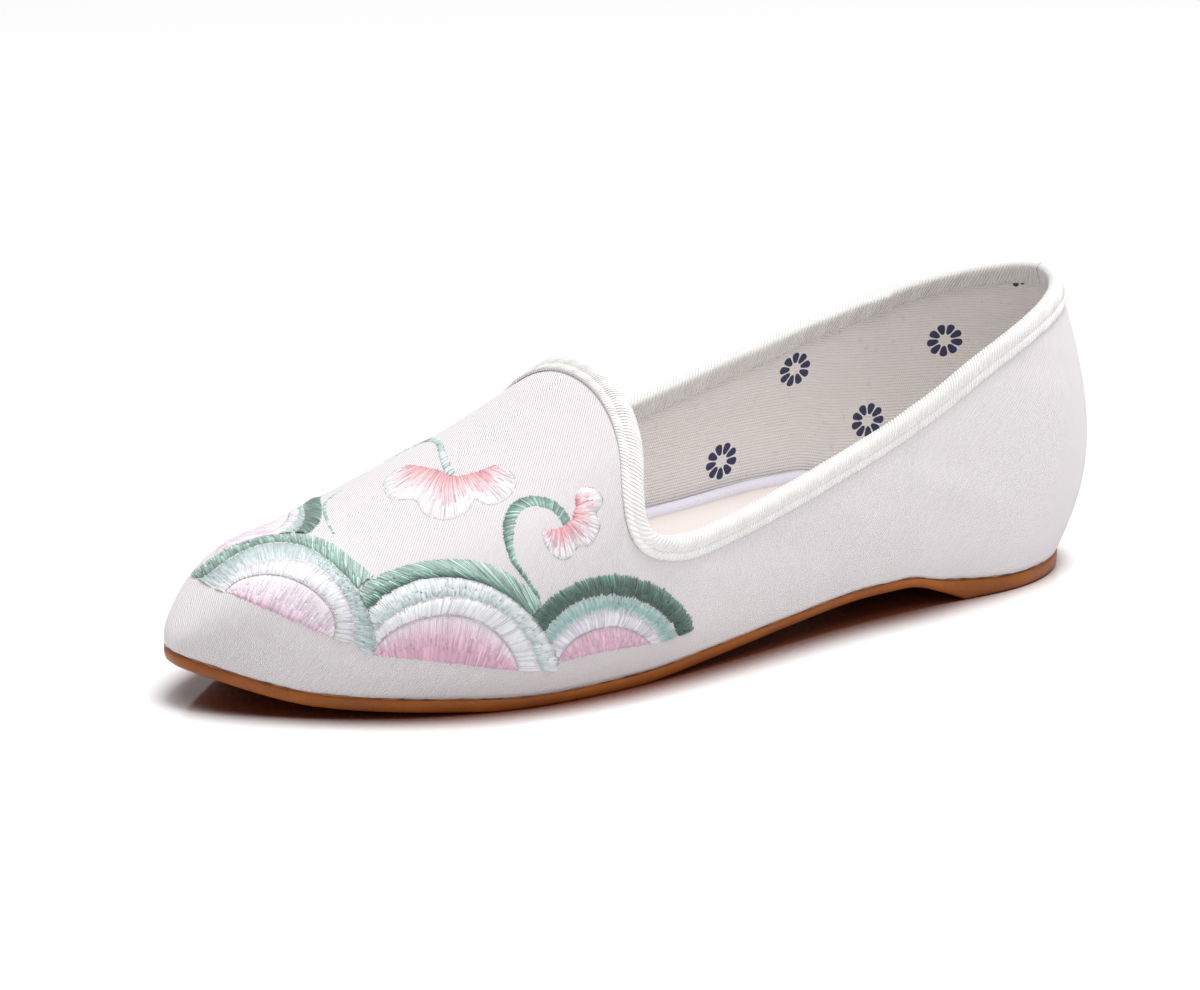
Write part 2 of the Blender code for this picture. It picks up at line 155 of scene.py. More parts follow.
def slopes(x, y, monotone):
    """Slope at each row: a smooth cubic spline, or one that never overshoots its rows."""
    step = np.diff(x)
    rate = np.diff(y) / step
    count = len(x)
    if monotone:
        slope = np.zeros(count)
        for i in range(1, count - 1):
            if rate[i - 1] * rate[i] > 0:
                slope[i] = 2 * rate[i - 1] * rate[i] / (rate[i - 1] + rate[i])
        slope[0] = rate[0]
        slope[-1] = rate[-1]
        return slope
    matrix = np.zeros((count, count))
    right = np.zeros(count)
    matrix[0, 0] = 1
    matrix[-1, -1] = 1
    right[0] = rate[0] - (rate[1] - rate[0]) * step[0] / (step[0] + step[1])
    right[-1] = rate[-1] + (rate[-1] - rate[-2]) * step[-1] / (step[-1] + step[-2])
    for i in range(1, count - 1):
        matrix[i, i - 1] = step[i]
        matrix[i, i] = 2 * (step[i - 1] + step[i])
        matrix[i, i + 1] = step[i - 1]
        right[i] = 3 * (step[i] * rate[i - 1] + step[i - 1] * rate[i])
    return np.linalg.solve(matrix, right)


def hermite(x, y, slope, at):
    """Cubic curve through the rows with the given slopes."""
    at = np.clip(at, x[0], x[-1])
    i = np.clip(np.searchsorted(x, at) - 1, 0, len(x) - 2)
    step = x[i + 1] - x[i]
    t = (at - x[i]) / step
    start = (1 + 2 * t) * (1 - t) ** 2 * y[i] + t * (1 - t) ** 2 * step * slope[i]
    end = t * t * (3 - 2 * t) * y[i + 1] + t * t * (t - 1) * step * slope[i + 1]
    return start + end


def read(table, column, at, key="share", monotone=False):
    """A table's column as a smooth curve over its key column."""
    x = np.array(table[key])
    y = np.array(table[column])
    return hermite(x, y, slopes(x, y, monotone), np.asarray(at, float))


def rounded(q, power):
    """Superellipse factor: 0 where q is 1, and 1 where q is 0."""
    q = np.clip(q, 0, 1)
    return (1 - q ** power) ** (1 / power)


def share_of(a):
    """Share of the sole length for the round-the-edge number a."""
    return (1 - np.cos(math.pi * np.abs(a))) / 2


def a_of(share):
    """Round-the-edge number on the left side for a share of the sole length."""
    return np.arccos(1 - 2 * np.asarray(share, float)) / math.pi


def edge_height(share):
    """Height over the floor of the line where the sole meets the upper."""
    return TOE_LIFT * read(SIDE, "edge", share, monotone=True)


def underside(share):
    """Height over the floor of the sole's underside, with the low heel and its curved breast."""
    web = edge_height(share) - SOLE_THICKNESS * read(SIDE, "sole", share, monotone=True)
    q = np.clip((share - BREAST) / BREAST_RUN, 0, 1)
    return np.maximum(web, 0) * (1 - (1 - q) ** BREAST_POWER)


def centre_line(share):
    """Sideways place of the last's centre line."""
    q = np.clip((share - TOE_TURN_START) / (1 - TOE_TURN_START), 0, 1)
    return TOE_TURN * BALL_WIDTH * q ** 2


def half_width(share, left):
    """Signed distance from the centre line to the sole edge."""
    ends = rounded(1 - share / HEEL_ROUND, HEEL_POWER) * rounded((share - 1) / TOE_ROUND + 1, TOE_POWER)
    side = np.where(left, read(OUTLINE, "left", share), -read(OUTLINE, "right", share))
    return BALL_WIDTH * side * ends


def skin(a, v):
    """Point of the upper's outside: a cubic arch across the last, from the sole edge to the ridge."""
    a = np.asarray(a, float)
    v = np.asarray(v, float)
    over = v > 1
    a = np.where(over, -a, a)
    v = np.where(over, 2 - v, v)
    share = share_of(a)
    edge = edge_height(share)
    nose = rounded((share - 1) / NOSE_ROUND + 1, NOSE_POWER)
    rise = (INSTEP_HEIGHT * read(RIDGE, "height", share) - edge) * nose
    half = half_width(share, a >= 0)
    flare = np.interp(share, SECTION["share"], SECTION["flare"])
    upright = np.interp(share, SECTION["share"], SECTION["upright"])
    crown = np.interp(share, SECTION["share"], SECTION["crown"])
    b0 = (1 - v) ** 3
    b1 = 3 * v * (1 - v) ** 2
    b2 = 3 * v * v * (1 - v)
    b3 = v ** 3
    y = centre_line(share) + half * (b0 + b1 * (1 + flare) + b2 * crown)
    z = edge + rise * (b1 * upright + b2 + b3)
    swell = HEEL_SWELL * read(SWELL, "swell", (z - edge) / SWELL_HEIGHT, key="height")
    x = LAST_LENGTH * share - swell * np.clip(1 - share / SWELL_REACH, 0, 1) ** 2
    return np.stack([x, y, z], -1) + TO_FRAME


def unit(vector):
    """Vector divided by its length."""
    return vector / np.maximum(np.linalg.norm(vector, axis=-1, keepdims=True), 1e-12)


def tangents(a, v):
    """Slopes of the skin along a and along v, by small differences."""
    small = 1e-3
    a = np.clip(a, 2 * small - 1, 1 - 2 * small)
    v = np.maximum(v, small)
    along = (skin(a + small, v) - skin(a - small, v)) / (2 * small)
    climb = (skin(a, v + small) - skin(a, v - small)) / (2 * small)
    return along, climb


def normal(a, v):
    """Outward unit normal of the skin."""
    along, climb = tangents(a, v)
    return unit(np.cross(climb, along))


def relief(place):
    """Height of the soft creases at points of the skin: each is a bell round its own line."""
    total = np.zeros(place.shape[:-1])
    for first, last, width, height in CREASES:
        ends = [skin(side * a_of(share), v) for side, share, v in (first, last)]
        line = ends[1] - ends[0]
        t = np.clip((place - ends[0]) @ line / (line @ line), 0, 1)
        gap = np.linalg.norm(place - ends[0] - t[..., None] * line, axis=-1)
        total += height * MM * np.exp(-(gap / (width * MM)) ** 2) * (0.6 + 0.4 * np.sin(math.pi * t))
    return total


def cloth(a, v, lift=0.0):
    """Face of the cloth with its creases, lifted along the normal."""
    place = skin(a, v)
    return place + (relief(place) + lift)[..., None] * normal(a, v)


def collar_side(column, side_count, tongue_count):
    """(a, v) along the collar, from the heel back to the tongue's peak."""
    a = a_of(COLLAR["share"])
    v = np.array(COLLAR[column])
    side = 1 if column == "left" else -1
    chord = np.linalg.norm(np.diff(skin(side * a, v), axis=0), axis=1)
    length = np.concatenate([[0], np.cumsum(chord)])
    back = np.linspace(0, length[THROAT_ROW], side_count + 1)
    tongue = np.linspace(length[THROAT_ROW], length[-1], tongue_count + 1)[1:]
    at = np.concatenate([back, tongue])
    return hermite(length, a, slopes(length, a, False), at), hermite(length, v, slopes(length, v, False), at)


def collar_ring(side_count, tongue_count):
    """The collar line as a closed ring of (a, v)."""
    left_a, left_v = collar_side("left", side_count, tongue_count)
    right_a, right_v = collar_side("right", side_count, tongue_count)
    return np.concatenate([left_a, -right_a[-2:0:-1]]), np.concatenate([left_v, right_v[-2:0:-1]])


def down_from(ring_a, ring_v, distance):
    """(a, v) at a distance from the collar line, measured down the skin and square to the line."""
    points = skin(ring_a, ring_v)
    line = np.roll(points, -1, axis=0) - np.roll(points, 1, axis=0)
    along, climb = tangents(ring_a, ring_v)
    down = unit(np.cross(normal(ring_a, ring_v), line))
    aa = np.sum(along * along, axis=-1)
    ac = np.sum(along * climb, axis=-1)
    cc = np.sum(climb * climb, axis=-1)
    da = np.sum(down * along, axis=-1)
    dc = np.sum(down * climb, axis=-1)
    det = aa * cc - ac * ac
    return ring_a + distance * (da * cc - dc * ac) / det, ring_v + distance * (dc * aa - da * ac) / det


# Meshes

def linear(colour):
    """Colour of 0 to 255 per channel as linear light."""
    c = np.asarray(colour, float) / 255
    return np.where(c <= 0.04045, c / 12.92, ((c + 0.055) / 1.055) ** 2.4)


def placed(name, data):
    """New object of the data, in the scene."""
    made = bpy.data.objects.new(name, data)
    bpy.context.scene.collection.objects.link(made)
    return made


def made_mesh(name, points, faces, look, uv=None, colour=None, weld=False, sharp=None):
    """Object from points (n, 3) and a list of face arrays; uv and colour are per point."""
    mesh = bpy.data.meshes.new(name)
    points = np.asarray(points, float).reshape(-1, 3)
    sizes = np.concatenate([np.full(len(f), f.shape[1]) for f in faces])
    corners = np.concatenate([f.reshape(-1) for f in faces])
    mesh.vertices.add(len(points))
    mesh.vertices.foreach_set("co", points.reshape(-1))
    mesh.loops.add(len(corners))
    mesh.loops.foreach_set("vertex_index", corners.astype(np.int32))
    mesh.polygons.add(len(sizes))
    starts = np.concatenate([[0], np.cumsum(sizes)[:-1]])
    mesh.polygons.foreach_set("loop_start", starts.astype(np.int32))
    mesh.polygons.foreach_set("use_smooth", np.ones(len(sizes), bool))
    mesh.update(calc_edges=True)
    if uv is not None:
        layer = mesh.uv_layers.new(name="cloth_mm")
        layer.data.foreach_set("uv", np.asarray(uv, float).reshape(-1, 2)[corners].reshape(-1))
    if colour is not None:
        paint = mesh.color_attributes.new(name="thread", type="FLOAT_COLOR", domain="POINT")
        colour = np.asarray(colour, float).reshape(-1, 3)
        paint.data.foreach_set("color", np.column_stack([colour, np.ones(len(colour))]).reshape(-1))
    mesh.validate()
    if weld:
        work = bmesh.new()
        work.from_mesh(mesh)
        bmesh.ops.remove_doubles(work, verts=work.verts, dist=2e-6)
        bmesh.ops.dissolve_degenerate(work, edges=work.edges, dist=1e-7)
        work.to_mesh(mesh)
        work.free()
    if sharp:
        mesh.set_sharp_from_angle(angle=math.radians(sharp))
    mesh.materials.append(look)
    return placed(name, mesh)


def grid_faces(rows, columns, start=0, wrap=False):
    """Quads of a grid of points, stored row by row; wrap joins the last column to the first."""
    i, j = np.meshgrid(np.arange(rows - 1), np.arange(columns if wrap else columns - 1), indexing="ij")
    k = (j + 1) % columns
    quads = np.stack([i * columns + j, i * columns + k, (i + 1) * columns + k, (i + 1) * columns + j], -1)
    return quads.reshape(-1, 4) + start


def tube_faces(count, around):
    """Quads of a closed tube: count lines of around points, the last line joined to the first."""
    last = (count - 1) * around + np.arange(around)
    first = np.arange(around)
    close = np.stack([last, np.roll(last, -1), np.roll(first, -1), first], -1)
    return np.concatenate([grid_faces(count, around, wrap=True), close])


def wall(made, thickness):
    """Gives an open sheet its thickness, inwards."""
    solid = made.modifiers.new("wall", "SOLIDIFY")
    solid.thickness = thickness
    solid.offset = -1
    solid.use_even_offset = True
    return made


def strands(name, centre, out, width, colour, look):
    """Threads with a three-cornered section, from their top line centre (n, k, 3), normals and width (n, k)."""
    n, k = centre.shape[:2]
    run = unit(np.gradient(centre, axis=1))
    across = unit(np.cross(out, run)) * (width / 2)[..., None]
    sunk = out * (0.45 * width)[..., None]
    ring = np.stack([centre - across - sunk, centre, centre + across - sunk], axis=2)
    base = (np.arange(n) * k * 3)[:, None, None]
    i = (np.arange(k - 1) * 3)[None, :, None]
    s = np.arange(3)[None, None, :]
    e = (s + 1) % 3
    quads = np.stack([base + i + s, base + i + 3 + s, base + i + 3 + e, base + i + e], -1).reshape(-1, 4)
    first = base[:, 0] + np.array([0, 1, 2])
    last = base[:, 0] + (k - 1) * 3 + np.array([2, 1, 0])
    t = np.broadcast_to(np.linspace(0, 1, k)[None, :, None], (n, k, 3))
    length = np.linalg.norm(centre[:, -1] - centre[:, 0], axis=-1)[:, None, None] / MM
    lot = np.arange(n)[:, None, None] * 0.37
    uv = np.stack([t * length + lot, np.broadcast_to(np.array([0, 0.5, 1.0]), (n, k, 3))], -1)
    paint = np.broadcast_to(colour[:, :, None, :], (n, k, 3, 3))
    return made_mesh(name, ring, [quads, np.concatenate([first, last])], look, uv=uv, colour=paint, sharp=100)


# Materials

class Value:
    """One shader value, vector or colour; arithmetic on a value makes Math nodes."""

    def __init__(self, graph, socket):
        self.graph = graph
        self.socket = socket

    def math(self, kind, *others):
        """Math node on this value and others."""
        return self.graph.value("ShaderNodeMath", self, *others, operation=kind)

    def __add__(self, other):
        return self.math("ADD", other)

    def __sub__(self, other):
        return self.math("SUBTRACT", other)

    def __mul__(self, other):
        return self.math("MULTIPLY", other)

    def __truediv__(self, other):
        return self.math("DIVIDE", other)

    def rest(self):
        """1 less this value."""
        return self.graph.value("ShaderNodeMath", 1.0, self, operation="SUBTRACT")

    def wave(self):
        """Size of the sine: a row of round bumps, one for each whole number."""
        return (self * math.pi).math("SINE").math("ABSOLUTE")

    def ramp(self, low, high):
        """0 below low and 1 above high, smooth between."""
        return self.graph.value("ShaderNodeMapRange", self, low, high, interpolation_type="SMOOTHSTEP")


class Graph:
    """Short words for making nodes in one tree. Colours are 0 to 255."""

    def __init__(self, tree):
        self.tree = tree

    def node(self, kind, *links, **settings):
        """New node; links go to its first inputs in order, as values or plain numbers."""
        made = self.tree.nodes.new(kind)
        for key, value in settings.items():
            setattr(made, key, value)
        for socket, value in zip(made.inputs, links):
            self.put(socket, value)
        return made

    def value(self, kind, *links, output=0, **settings):
        """One output of a new node."""
        return Value(self, self.node(kind, *links, **settings).outputs[output])

    def put(self, socket, value):
        """Links a socket, or sets its plain value."""
        if isinstance(value, Value):
            self.tree.links.new(value.socket, socket)
        elif value is not None:
            socket.default_value = value

    def give(self, **values):
        """Links a node group's outputs."""
        for key, value in values.items():
            self.put(self.goes[key], value)
        return self.tree

    def parts(self, vector):
        """X, Y and Z of a vector."""
        return [Value(self, socket) for socket in self.node("ShaderNodeSeparateXYZ", vector).outputs]

    def stretched(self, vector, factors):
        """Vector multiplied part by part."""
        return self.value("ShaderNodeVectorMath", vector, factors, operation="MULTIPLY")

    def object_place(self):
        """Place on the piece in metres."""
        return self.value("ShaderNodeTexCoord", output="Object")

    def cloth_place(self):
        """Place on the piece's own map, in millimetres of cloth."""
        return self.value("ShaderNodeUVMap", uv_map="cloth_mm")

    def mix(self, factor, a, b, kind="MIX"):
        """Mixed colour."""
        made = self.node("ShaderNodeMix", factor, data_type="RGBA", blend_type=kind)
        for socket, colour in ((made.inputs[6], a), (made.inputs[7], b)):
            self.put(socket, colour if isinstance(colour, Value) else (*linear(colour).tolist(), 1.0))
        return Value(self, made.outputs[2])

    def tint(self, base, mask, amount, colour):
        """Base colour taken by an amount towards another where the mask is 1."""
        return self.mix(mask * amount, base, colour)

    def noise(self, vector, scale, detail=2.0, rough=0.5):
        """Noise value."""
        made = self.node("ShaderNodeTexNoise", vector)
        for key, value in (("Scale", scale), ("Detail", detail), ("Roughness", rough)):
            made.inputs[key].default_value = value
        return Value(self, made.outputs["Fac"])

    def group(self, tree, **values):
        """Places a node group with its own values; gives its outputs by name."""
        made = self.node("ShaderNodeGroup", node_tree=tree)
        for key, value in values.items():
            self.put(made.inputs[key.replace("_", " ")], value)
        return {socket.name: Value(self, socket) for socket in made.outputs}


def new_group(name, inputs, outputs):
    """Empty node group with named sockets, and its inputs' values; a default of None makes a vector input."""
    tree = bpy.data.node_groups.new(name, "ShaderNodeTree")
    for key, default in inputs.items():
        kind = "NodeSocketVector" if default is None else "NodeSocketFloat"
        socket = tree.interface.new_socket(key, in_out="INPUT", socket_type=kind)
        if default is not None:
            socket.default_value = default
    for key in outputs:
        tree.interface.new_socket(key, in_out="OUTPUT", socket_type="NodeSocketFloat")
    g = Graph(tree)
    g.goes = tree.nodes.new("NodeGroupOutput").inputs
    return g, {socket.name: Value(g, socket) for socket in tree.nodes.new("NodeGroupInput").outputs}


def twill_group():
    """Twill: slanting ridges of the given pitch, each broken into short floats along the other diagonal."""
    g, came = new_group("twill", {"Place": None, "Pitch": 0.7, "Slant": 0.8, "Uneven": 0.3}, ("Height",))
    x, y, _ = g.parts(came["Place"])
    wobble = (g.noise(came["Place"], 0.35, 3) - 0.5) * came["Uneven"]
    phase = (y * came["Slant"] + x) / came["Pitch"] + wobble
    ridge = (phase * TURN).math("SINE") * 0.5 + 0.5
    across = (x * -0.6 + y) / came["Pitch"]
    floats = (across * 1.7 + phase.math("FLOOR") * 0.5).wave()
    return g.give(Height=ridge * (floats.math("POWER", 0.35) * 0.3 + 0.7))


def canvas_group():
    """Plain canvas weave: thick slubby weft ribs over fine warp, as a product of two waves."""
    g, came = new_group("canvas", {"Place": None, "Rib": 0.8, "Warp": 0.5}, ("Height", "Slub"))
    x, y, _ = g.parts(came["Place"])
    slub = g.noise(g.stretched(came["Place"], (0.18, 2.2, 1.0)), 1.0, 3, 0.6)
    row = y / came["Rib"]
    rib = (slub * 0.5 + row).wave()
    warp = (x / came["Warp"] + row.math("FLOOR") * 0.5).wave()
    return g.give(Height=rib.math("POWER", 0.6) * (warp.math("POWER", 0.5) * 0.55 + 0.45), Slub=slub)


def mottle_group():
    """Slow unevenness of a surface, and its faint soiling, on Object coordinates in metres."""
    g, came = new_group("mottle", {"Size": 0.02}, ("Slow", "Fine"))
    scaled = g.node("ShaderNodeVectorMath", g.object_place(), operation="SCALE")
    g.put(scaled.inputs["Scale"], g.value("ShaderNodeMath", 1.0, came["Size"], operation="DIVIDE"))
    place = Value(g, scaled.outputs[0])
    return g.give(Slow=g.noise(place, 1.0, 3), Fine=g.noise(place, 14.0, 3, 0.6))


PETALS = 9
PETAL_MIDDLE = 0.68     # shares of the blossom's radius
PETAL_HALF = 0.34


def blossom_print_group():
    """Small printed blossoms on a half-drop lattice: wedge-shaped petals round an open centre.

    A petal is where (aside / half width)^2 + (|r - middle| / half length)^3.4 < 1, in shares of the radius.
    """
    g, came = new_group("blossom_print", {
        "Place": None, "Pace X": 45.0, "Pace Y": 42.0, "Radius": 5.0, "Skew": 0.0}, ("Ink",))
    along, up, _ = g.parts(came["Place"])
    sheared = up * came["Skew"] + along
    wedge = TURN / PETALS
    found = None
    for shift in (0.0, 0.5):
        x = sheared / came["Pace X"] - shift
        y = up / came["Pace Y"] - shift
        column = x.math("ROUND")
        row = y.math("ROUND")
        dx = (x - column) * came["Pace X"]
        dy = (y - row) * came["Pace Y"]
        turned = (dy.math("ARCTAN2", dx) + (column * 2.3 + row * 1.7)) / wedge
        off = (turned - turned.math("ROUND")) * wedge
        r = (dx * dx + dy * dy).math("SQRT") / came["Radius"]
        aside = r * off.math("SINE") / (r * 0.25 + 0.03)
        long_way = ((r - PETAL_MIDDLE).math("ABSOLUTE") / PETAL_HALF).math("POWER", 3.4)
        petal = (aside * aside + long_way).ramp(0.82, 1.0).rest()
        found = petal if found is None else found.math("MAXIMUM", petal)
    return g.give(Ink=found)


def strand_group():
    """Fine filaments along one embroidery thread."""
    g, came = new_group("strand", {"Place": None}, ("Height",))
    return g.give(Height=g.noise(g.stretched(came["Place"], (0.5, 9.0, 1.0)), 1.0, 2))


TWILL = twill_group()
CANVAS = canvas_group()
MOTTLE = mottle_group()
BLOSSOM_PRINT = blossom_print_group()
STRAND = strand_group()


def material(name, **sockets):
    """Graph of a new material, with its Principled shader's plain sockets set."""
    made = bpy.data.materials.new(name)
    made.use_nodes = True
    g = Graph(made.node_tree)
    g.material = made
    g.shader = made.node_tree.nodes["Principled BSDF"]
    for key, value in sockets.items():
        g.shader.inputs[key.replace("_", " ")].default_value = value
    return g


def finished(g, colour, height=None, depth=0.0):
    """The graph's material, given its colour and a bump of a depth in metres."""
    g.put(g.shader.inputs["Base Color"], colour)
    if height is not None:
        raised = g.node("ShaderNodeBump")
        raised.inputs["Strength"].default_value = 1.0
        raised.inputs["Distance"].default_value = depth
        g.put(raised.inputs["Height"], height)
        g.put(g.shader.inputs["Normal"], Value(g, raised.outputs[0]))
    return g.material


def face_cloth():
    """Off-white cotton twill of the upper."""
    g = material("face_cloth", Roughness=0.82, Sheen_Weight=0.12, Sheen_Roughness=0.5)
    weave = g.group(TWILL, Place=g.cloth_place(), Pitch=0.78, Slant=0.85, Uneven=0.5)["Height"]
    mottle = g.group(MOTTLE, Size=0.03)
    base = g.mix(mottle["Slow"].ramp(0.35, 0.7), (234, 229, 231), (236, 231, 232))
    # Painted shade: the colour darkens in the weave's valleys, between the threads.
    base = g.tint(base, weave.rest(), 0.40, (206, 198, 201))
    base = g.tint(base, mottle["Fine"].ramp(0.55, 0.8), 0.10, (226, 218, 212))
    return finished(g, base, weave, 0.00018)


def lining_cloth():
    """Natural canvas lining with its printed blossoms, which end towards the toe."""
    g = material("lining_cloth", Roughness=0.9, Sheen_Weight=0.08)
    place = g.cloth_place()
    weave = g.group(CANVAS, Place=place, Rib=0.80, Warp=0.55)
    centred = g.node("ShaderNodeMapping", place)
    centred.inputs["Location"].default_value = (-104.9, -44.6, 0.0)
    centred.inputs["Rotation"].default_value = (0.0, 0.0, math.radians(-9.6))
    ink = g.group(BLOSSOM_PRINT, Place=Value(g, centred.outputs[0]), Pace_X=43.6, Pace_Y=35.4, Radius=4.6,
                  Skew=-0.123)["Ink"] * g.parts(place)[0].math("LESS_THAN", 110.0)
    base = g.mix(weave["Slub"].ramp(0.35, 0.68), (255, 251, 247), (255, 254, 251))
    # Painted shade: the colour darkens in the canvas's valleys, between the ribs.
    base = g.tint(base, weave["Height"].rest(), 0.40, (236, 222, 215))
    base = g.tint(base, g.group(MOTTLE, Size=0.025)["Fine"].ramp(0.6, 0.75), 0.30, (214, 192, 180))
    dye = g.mix(weave["Height"] * 0.35, (26, 30, 78), (64, 70, 122))
    return finished(g, g.tint(base, ink, 0.97, dye), weave["Height"], 0.00022)


def tape_cloth():
    """White bias tape with slanting ribs."""
    g = material("tape_cloth", Roughness=0.62, Sheen_Weight=0.15)
    weave = g.group(TWILL, Place=g.cloth_place(), Pitch=0.92, Slant=0.62, Uneven=0.3)["Height"]
    # Painted shade: the tape darkens in the valleys between its ribs.
    base = g.tint((255, 254, 252), weave.rest(), 0.42, (214, 207, 202))
    base = g.tint(base, g.group(MOTTLE, Size=0.02)["Slow"].ramp(0.5, 0.8), 0.10, (232, 222, 214))
    return finished(g, base, weave, 0.00028)


def embroidery_floss():
    """Glossy floss, coloured by its own attribute and darker between its filaments, which is painted shade."""
    g = material("embroidery_floss", Roughness=0.32, Sheen_Weight=0.35, Specular_IOR_Level=0.7)
    strand = g.group(STRAND, Place=g.cloth_place())["Height"]
    paint = g.value("ShaderNodeVertexColor", layer_name="thread")
    dark = g.mix(1.0, paint, (232, 232, 236), "MULTIPLY")
    return finished(g, g.mix(strand.ramp(0.35, 0.6), dark, paint), strand, 0.00008)


def border_cloth():
    """Lavender-white brushed edge of the footbed."""
    g = material("border_cloth", Roughness=0.88, Sheen_Weight=0.2)
    base = g.mix(g.group(MOTTLE, Size=0.006)["Fine"].ramp(0.3, 0.7), (222, 219, 234), (232, 229, 240))
    return finished(g, base, g.noise(g.object_place(), 2600.0, 3), 0.00012)


def sock_cloth():
    """Cream sock with a fine slanting rib."""
    g = material("sock_cloth", Roughness=0.88, Sheen_Weight=0.1)
    weave = g.group(TWILL, Place=g.cloth_place(), Pitch=0.75, Slant=0.7, Uneven=0.05)["Height"]
    base = g.mix(g.group(MOTTLE, Size=0.03)["Slow"].ramp(0.35, 0.7), (224, 218, 217), (229, 223, 221))
    # Painted shade: the sock darkens in the valleys between its ribs.
    return finished(g, g.tint(base, weave.rest(), 0.40, (214, 186, 172)), weave, 0.00010)


def sole_rubber():
    """Caramel rubber, unevenly darker, with a fine wavy tread underneath."""
    g = material("sole_rubber", Roughness=0.42, Specular_IOR_Level=0.35)
    mottle = g.group(MOTTLE, Size=0.02)
    place = g.object_place()
    x, y, _ = g.parts(place)
    base = g.mix(mottle["Slow"].ramp(0.3, 0.7), (134, 70, 14), (160, 88, 18))
    base = g.tint(base, mottle["Fine"].ramp(0.5, 0.75), 0.35, (112, 58, 16))
    facing = g.parts(g.value("ShaderNodeNewGeometry", output="Normal"))[2]
    wave = (x * 2400.0 + (y * 900.0).math("SINE") * 1.2).math("SINE")
    tread = wave.ramp(-0.2, 0.4) * (facing * -1.0).ramp(0.6, 0.9)
    g.put(g.shader.inputs["Roughness"], mottle["Fine"] * 0.25 + 0.32)
    height = g.noise(place, 900.0, 3) * 0.18 - tread
    # Painted shade: the tread's grooves on the underside are darker.
    return finished(g, g.tint(base, tread, 0.25, (96, 52, 22)), height, 0.0004)


def glue_and_shade():
    """Cement line where the cloth is lasted onto the sole, with painted shade: its dark brown stands for the
    shade in the joint, and its lighter brown for the cement's smears.
    """
    g = material("cement_and_shade_line", Roughness=0.55)
    slow = g.group(MOTTLE, Size=0.004)["Slow"].ramp(0.35, 0.65)
    return finished(g, g.mix(slow, (74, 44, 26), (150, 104, 66)))


FACE_CLOTH = face_cloth()
LINING_CLOTH = lining_cloth()
TAPE_CLOTH = tape_cloth()
FLOSS = embroidery_floss()
BORDER_CLOTH = border_cloth()
SOCK_CLOTH = sock_cloth()
RUBBER = sole_rubber()
CEMENT_AND_SHADE = glue_and_shade()


# Upper and lining

STATIONS = 240
LEVELS = 80
WAIST = 0.35            # share of the length behind which the cloth's map runs round the heel
COLUMNS = (30, 13, 16)  # columns of one side up to the throat, from there to the peak, and along the ridge
FACE = 0.0009
LINING = 0.0007
LINING_LIFT = -0.00105


def climb_lengths(side):
    """Length climbed up the skin at each station a and level v of one side."""
    a, v = np.meshgrid(np.linspace(0, 1, STATIONS + 1), np.linspace(0, 1, LEVELS + 1), indexing="ij")
    step = np.linalg.norm(np.diff(skin(side * a, v), axis=1), axis=-1)
    return np.concatenate([np.zeros((STATIONS + 1, 1)), np.cumsum(step, axis=1)], axis=1)


def look_up(table, a, v):
    """Table over (|a|, v) read between its rows."""
    i = np.clip(np.abs(a) * STATIONS, 0, STATIONS - 1e-6)
    j = np.clip(v * LEVELS, 0, LEVELS - 1e-6)
    i0 = i.astype(int)
    j0 = j.astype(int)
    p = i - i0
    q = j - j0
    low = table[i0, j0] * (1 - p) + table[i0 + 1, j0] * p
    high = table[i0, j0 + 1] * (1 - p) + table[i0 + 1, j0 + 1] * p
    return low * (1 - q) + high * q


CLIMBED = {1: climb_lengths(1), -1: climb_lengths(-1)}


def cloth_place(a, v, side):
    """Millimetres of flat cloth: along the shoe (round the heel behind the waist), and from the ridge down."""
    share = share_of(a)
    stations = np.linspace(0, 1, STATIONS + 1)
    edge = skin(side * stations, np.zeros(STATIONS + 1))
    run = np.concatenate([[0], np.cumsum(np.linalg.norm(np.diff(edge, axis=0), axis=1))])
    behind = np.interp(np.abs(a), stations, run)
    start = np.interp(a_of(WAIST), stations, run)
    along = np.where(share < WAIST, behind, start + LAST_LENGTH * (share - WAIST))
    whole = look_up(CLIMBED[side], a_of(np.maximum(share, 0.5)), np.ones_like(share))
    height = look_up(CLIMBED[side], a, v)
    return np.stack([along, side * (height - whole)], -1) / MM


def upper_grid(side, scale, rows):
    """(a, v) of one side's grid: columns lean from the sole edge to the collar, tongue and ridge."""
    counts = [columns * scale for columns in COLUMNS]
    ring_a, ring_v = collar_ring(counts[0], counts[1])
    edge_a, edge_v = down_from(ring_a, ring_v, TAPE + GAP)
    peak = counts[0] + counts[1]
    edge_a[0] = 0
    edge_v[peak] = 1
    if side < 0:
        edge_a = np.concatenate([[0], -edge_a[:peak:-1], [edge_a[peak]]])
        edge_v = np.concatenate([[edge_v[0]], edge_v[:peak:-1], [1]])
    ridge_a = np.linspace(edge_a[peak], 1, counts[2] + 1)[1:]
    top_a = np.concatenate([edge_a[:peak + 1], ridge_a])
    top_v = np.concatenate([edge_v[:peak + 1], np.ones(counts[2])])
    bottom = np.concatenate([np.linspace(0, THROAT_FOOT, counts[0] + 1),
                             np.linspace(THROAT_FOOT, PEAK_FOOT, counts[1] + 1)[1:],
                             np.linspace(PEAK_FOOT, 1, counts[2] + 1)[1:]])
    t = (1 - np.linspace(1, 0, rows + 1) ** CROWDING)[None, :]
    a = bottom[:, None] + t ** LEAN * (top_a - bottom)[:, None]
    return a, t * top_v[:, None]


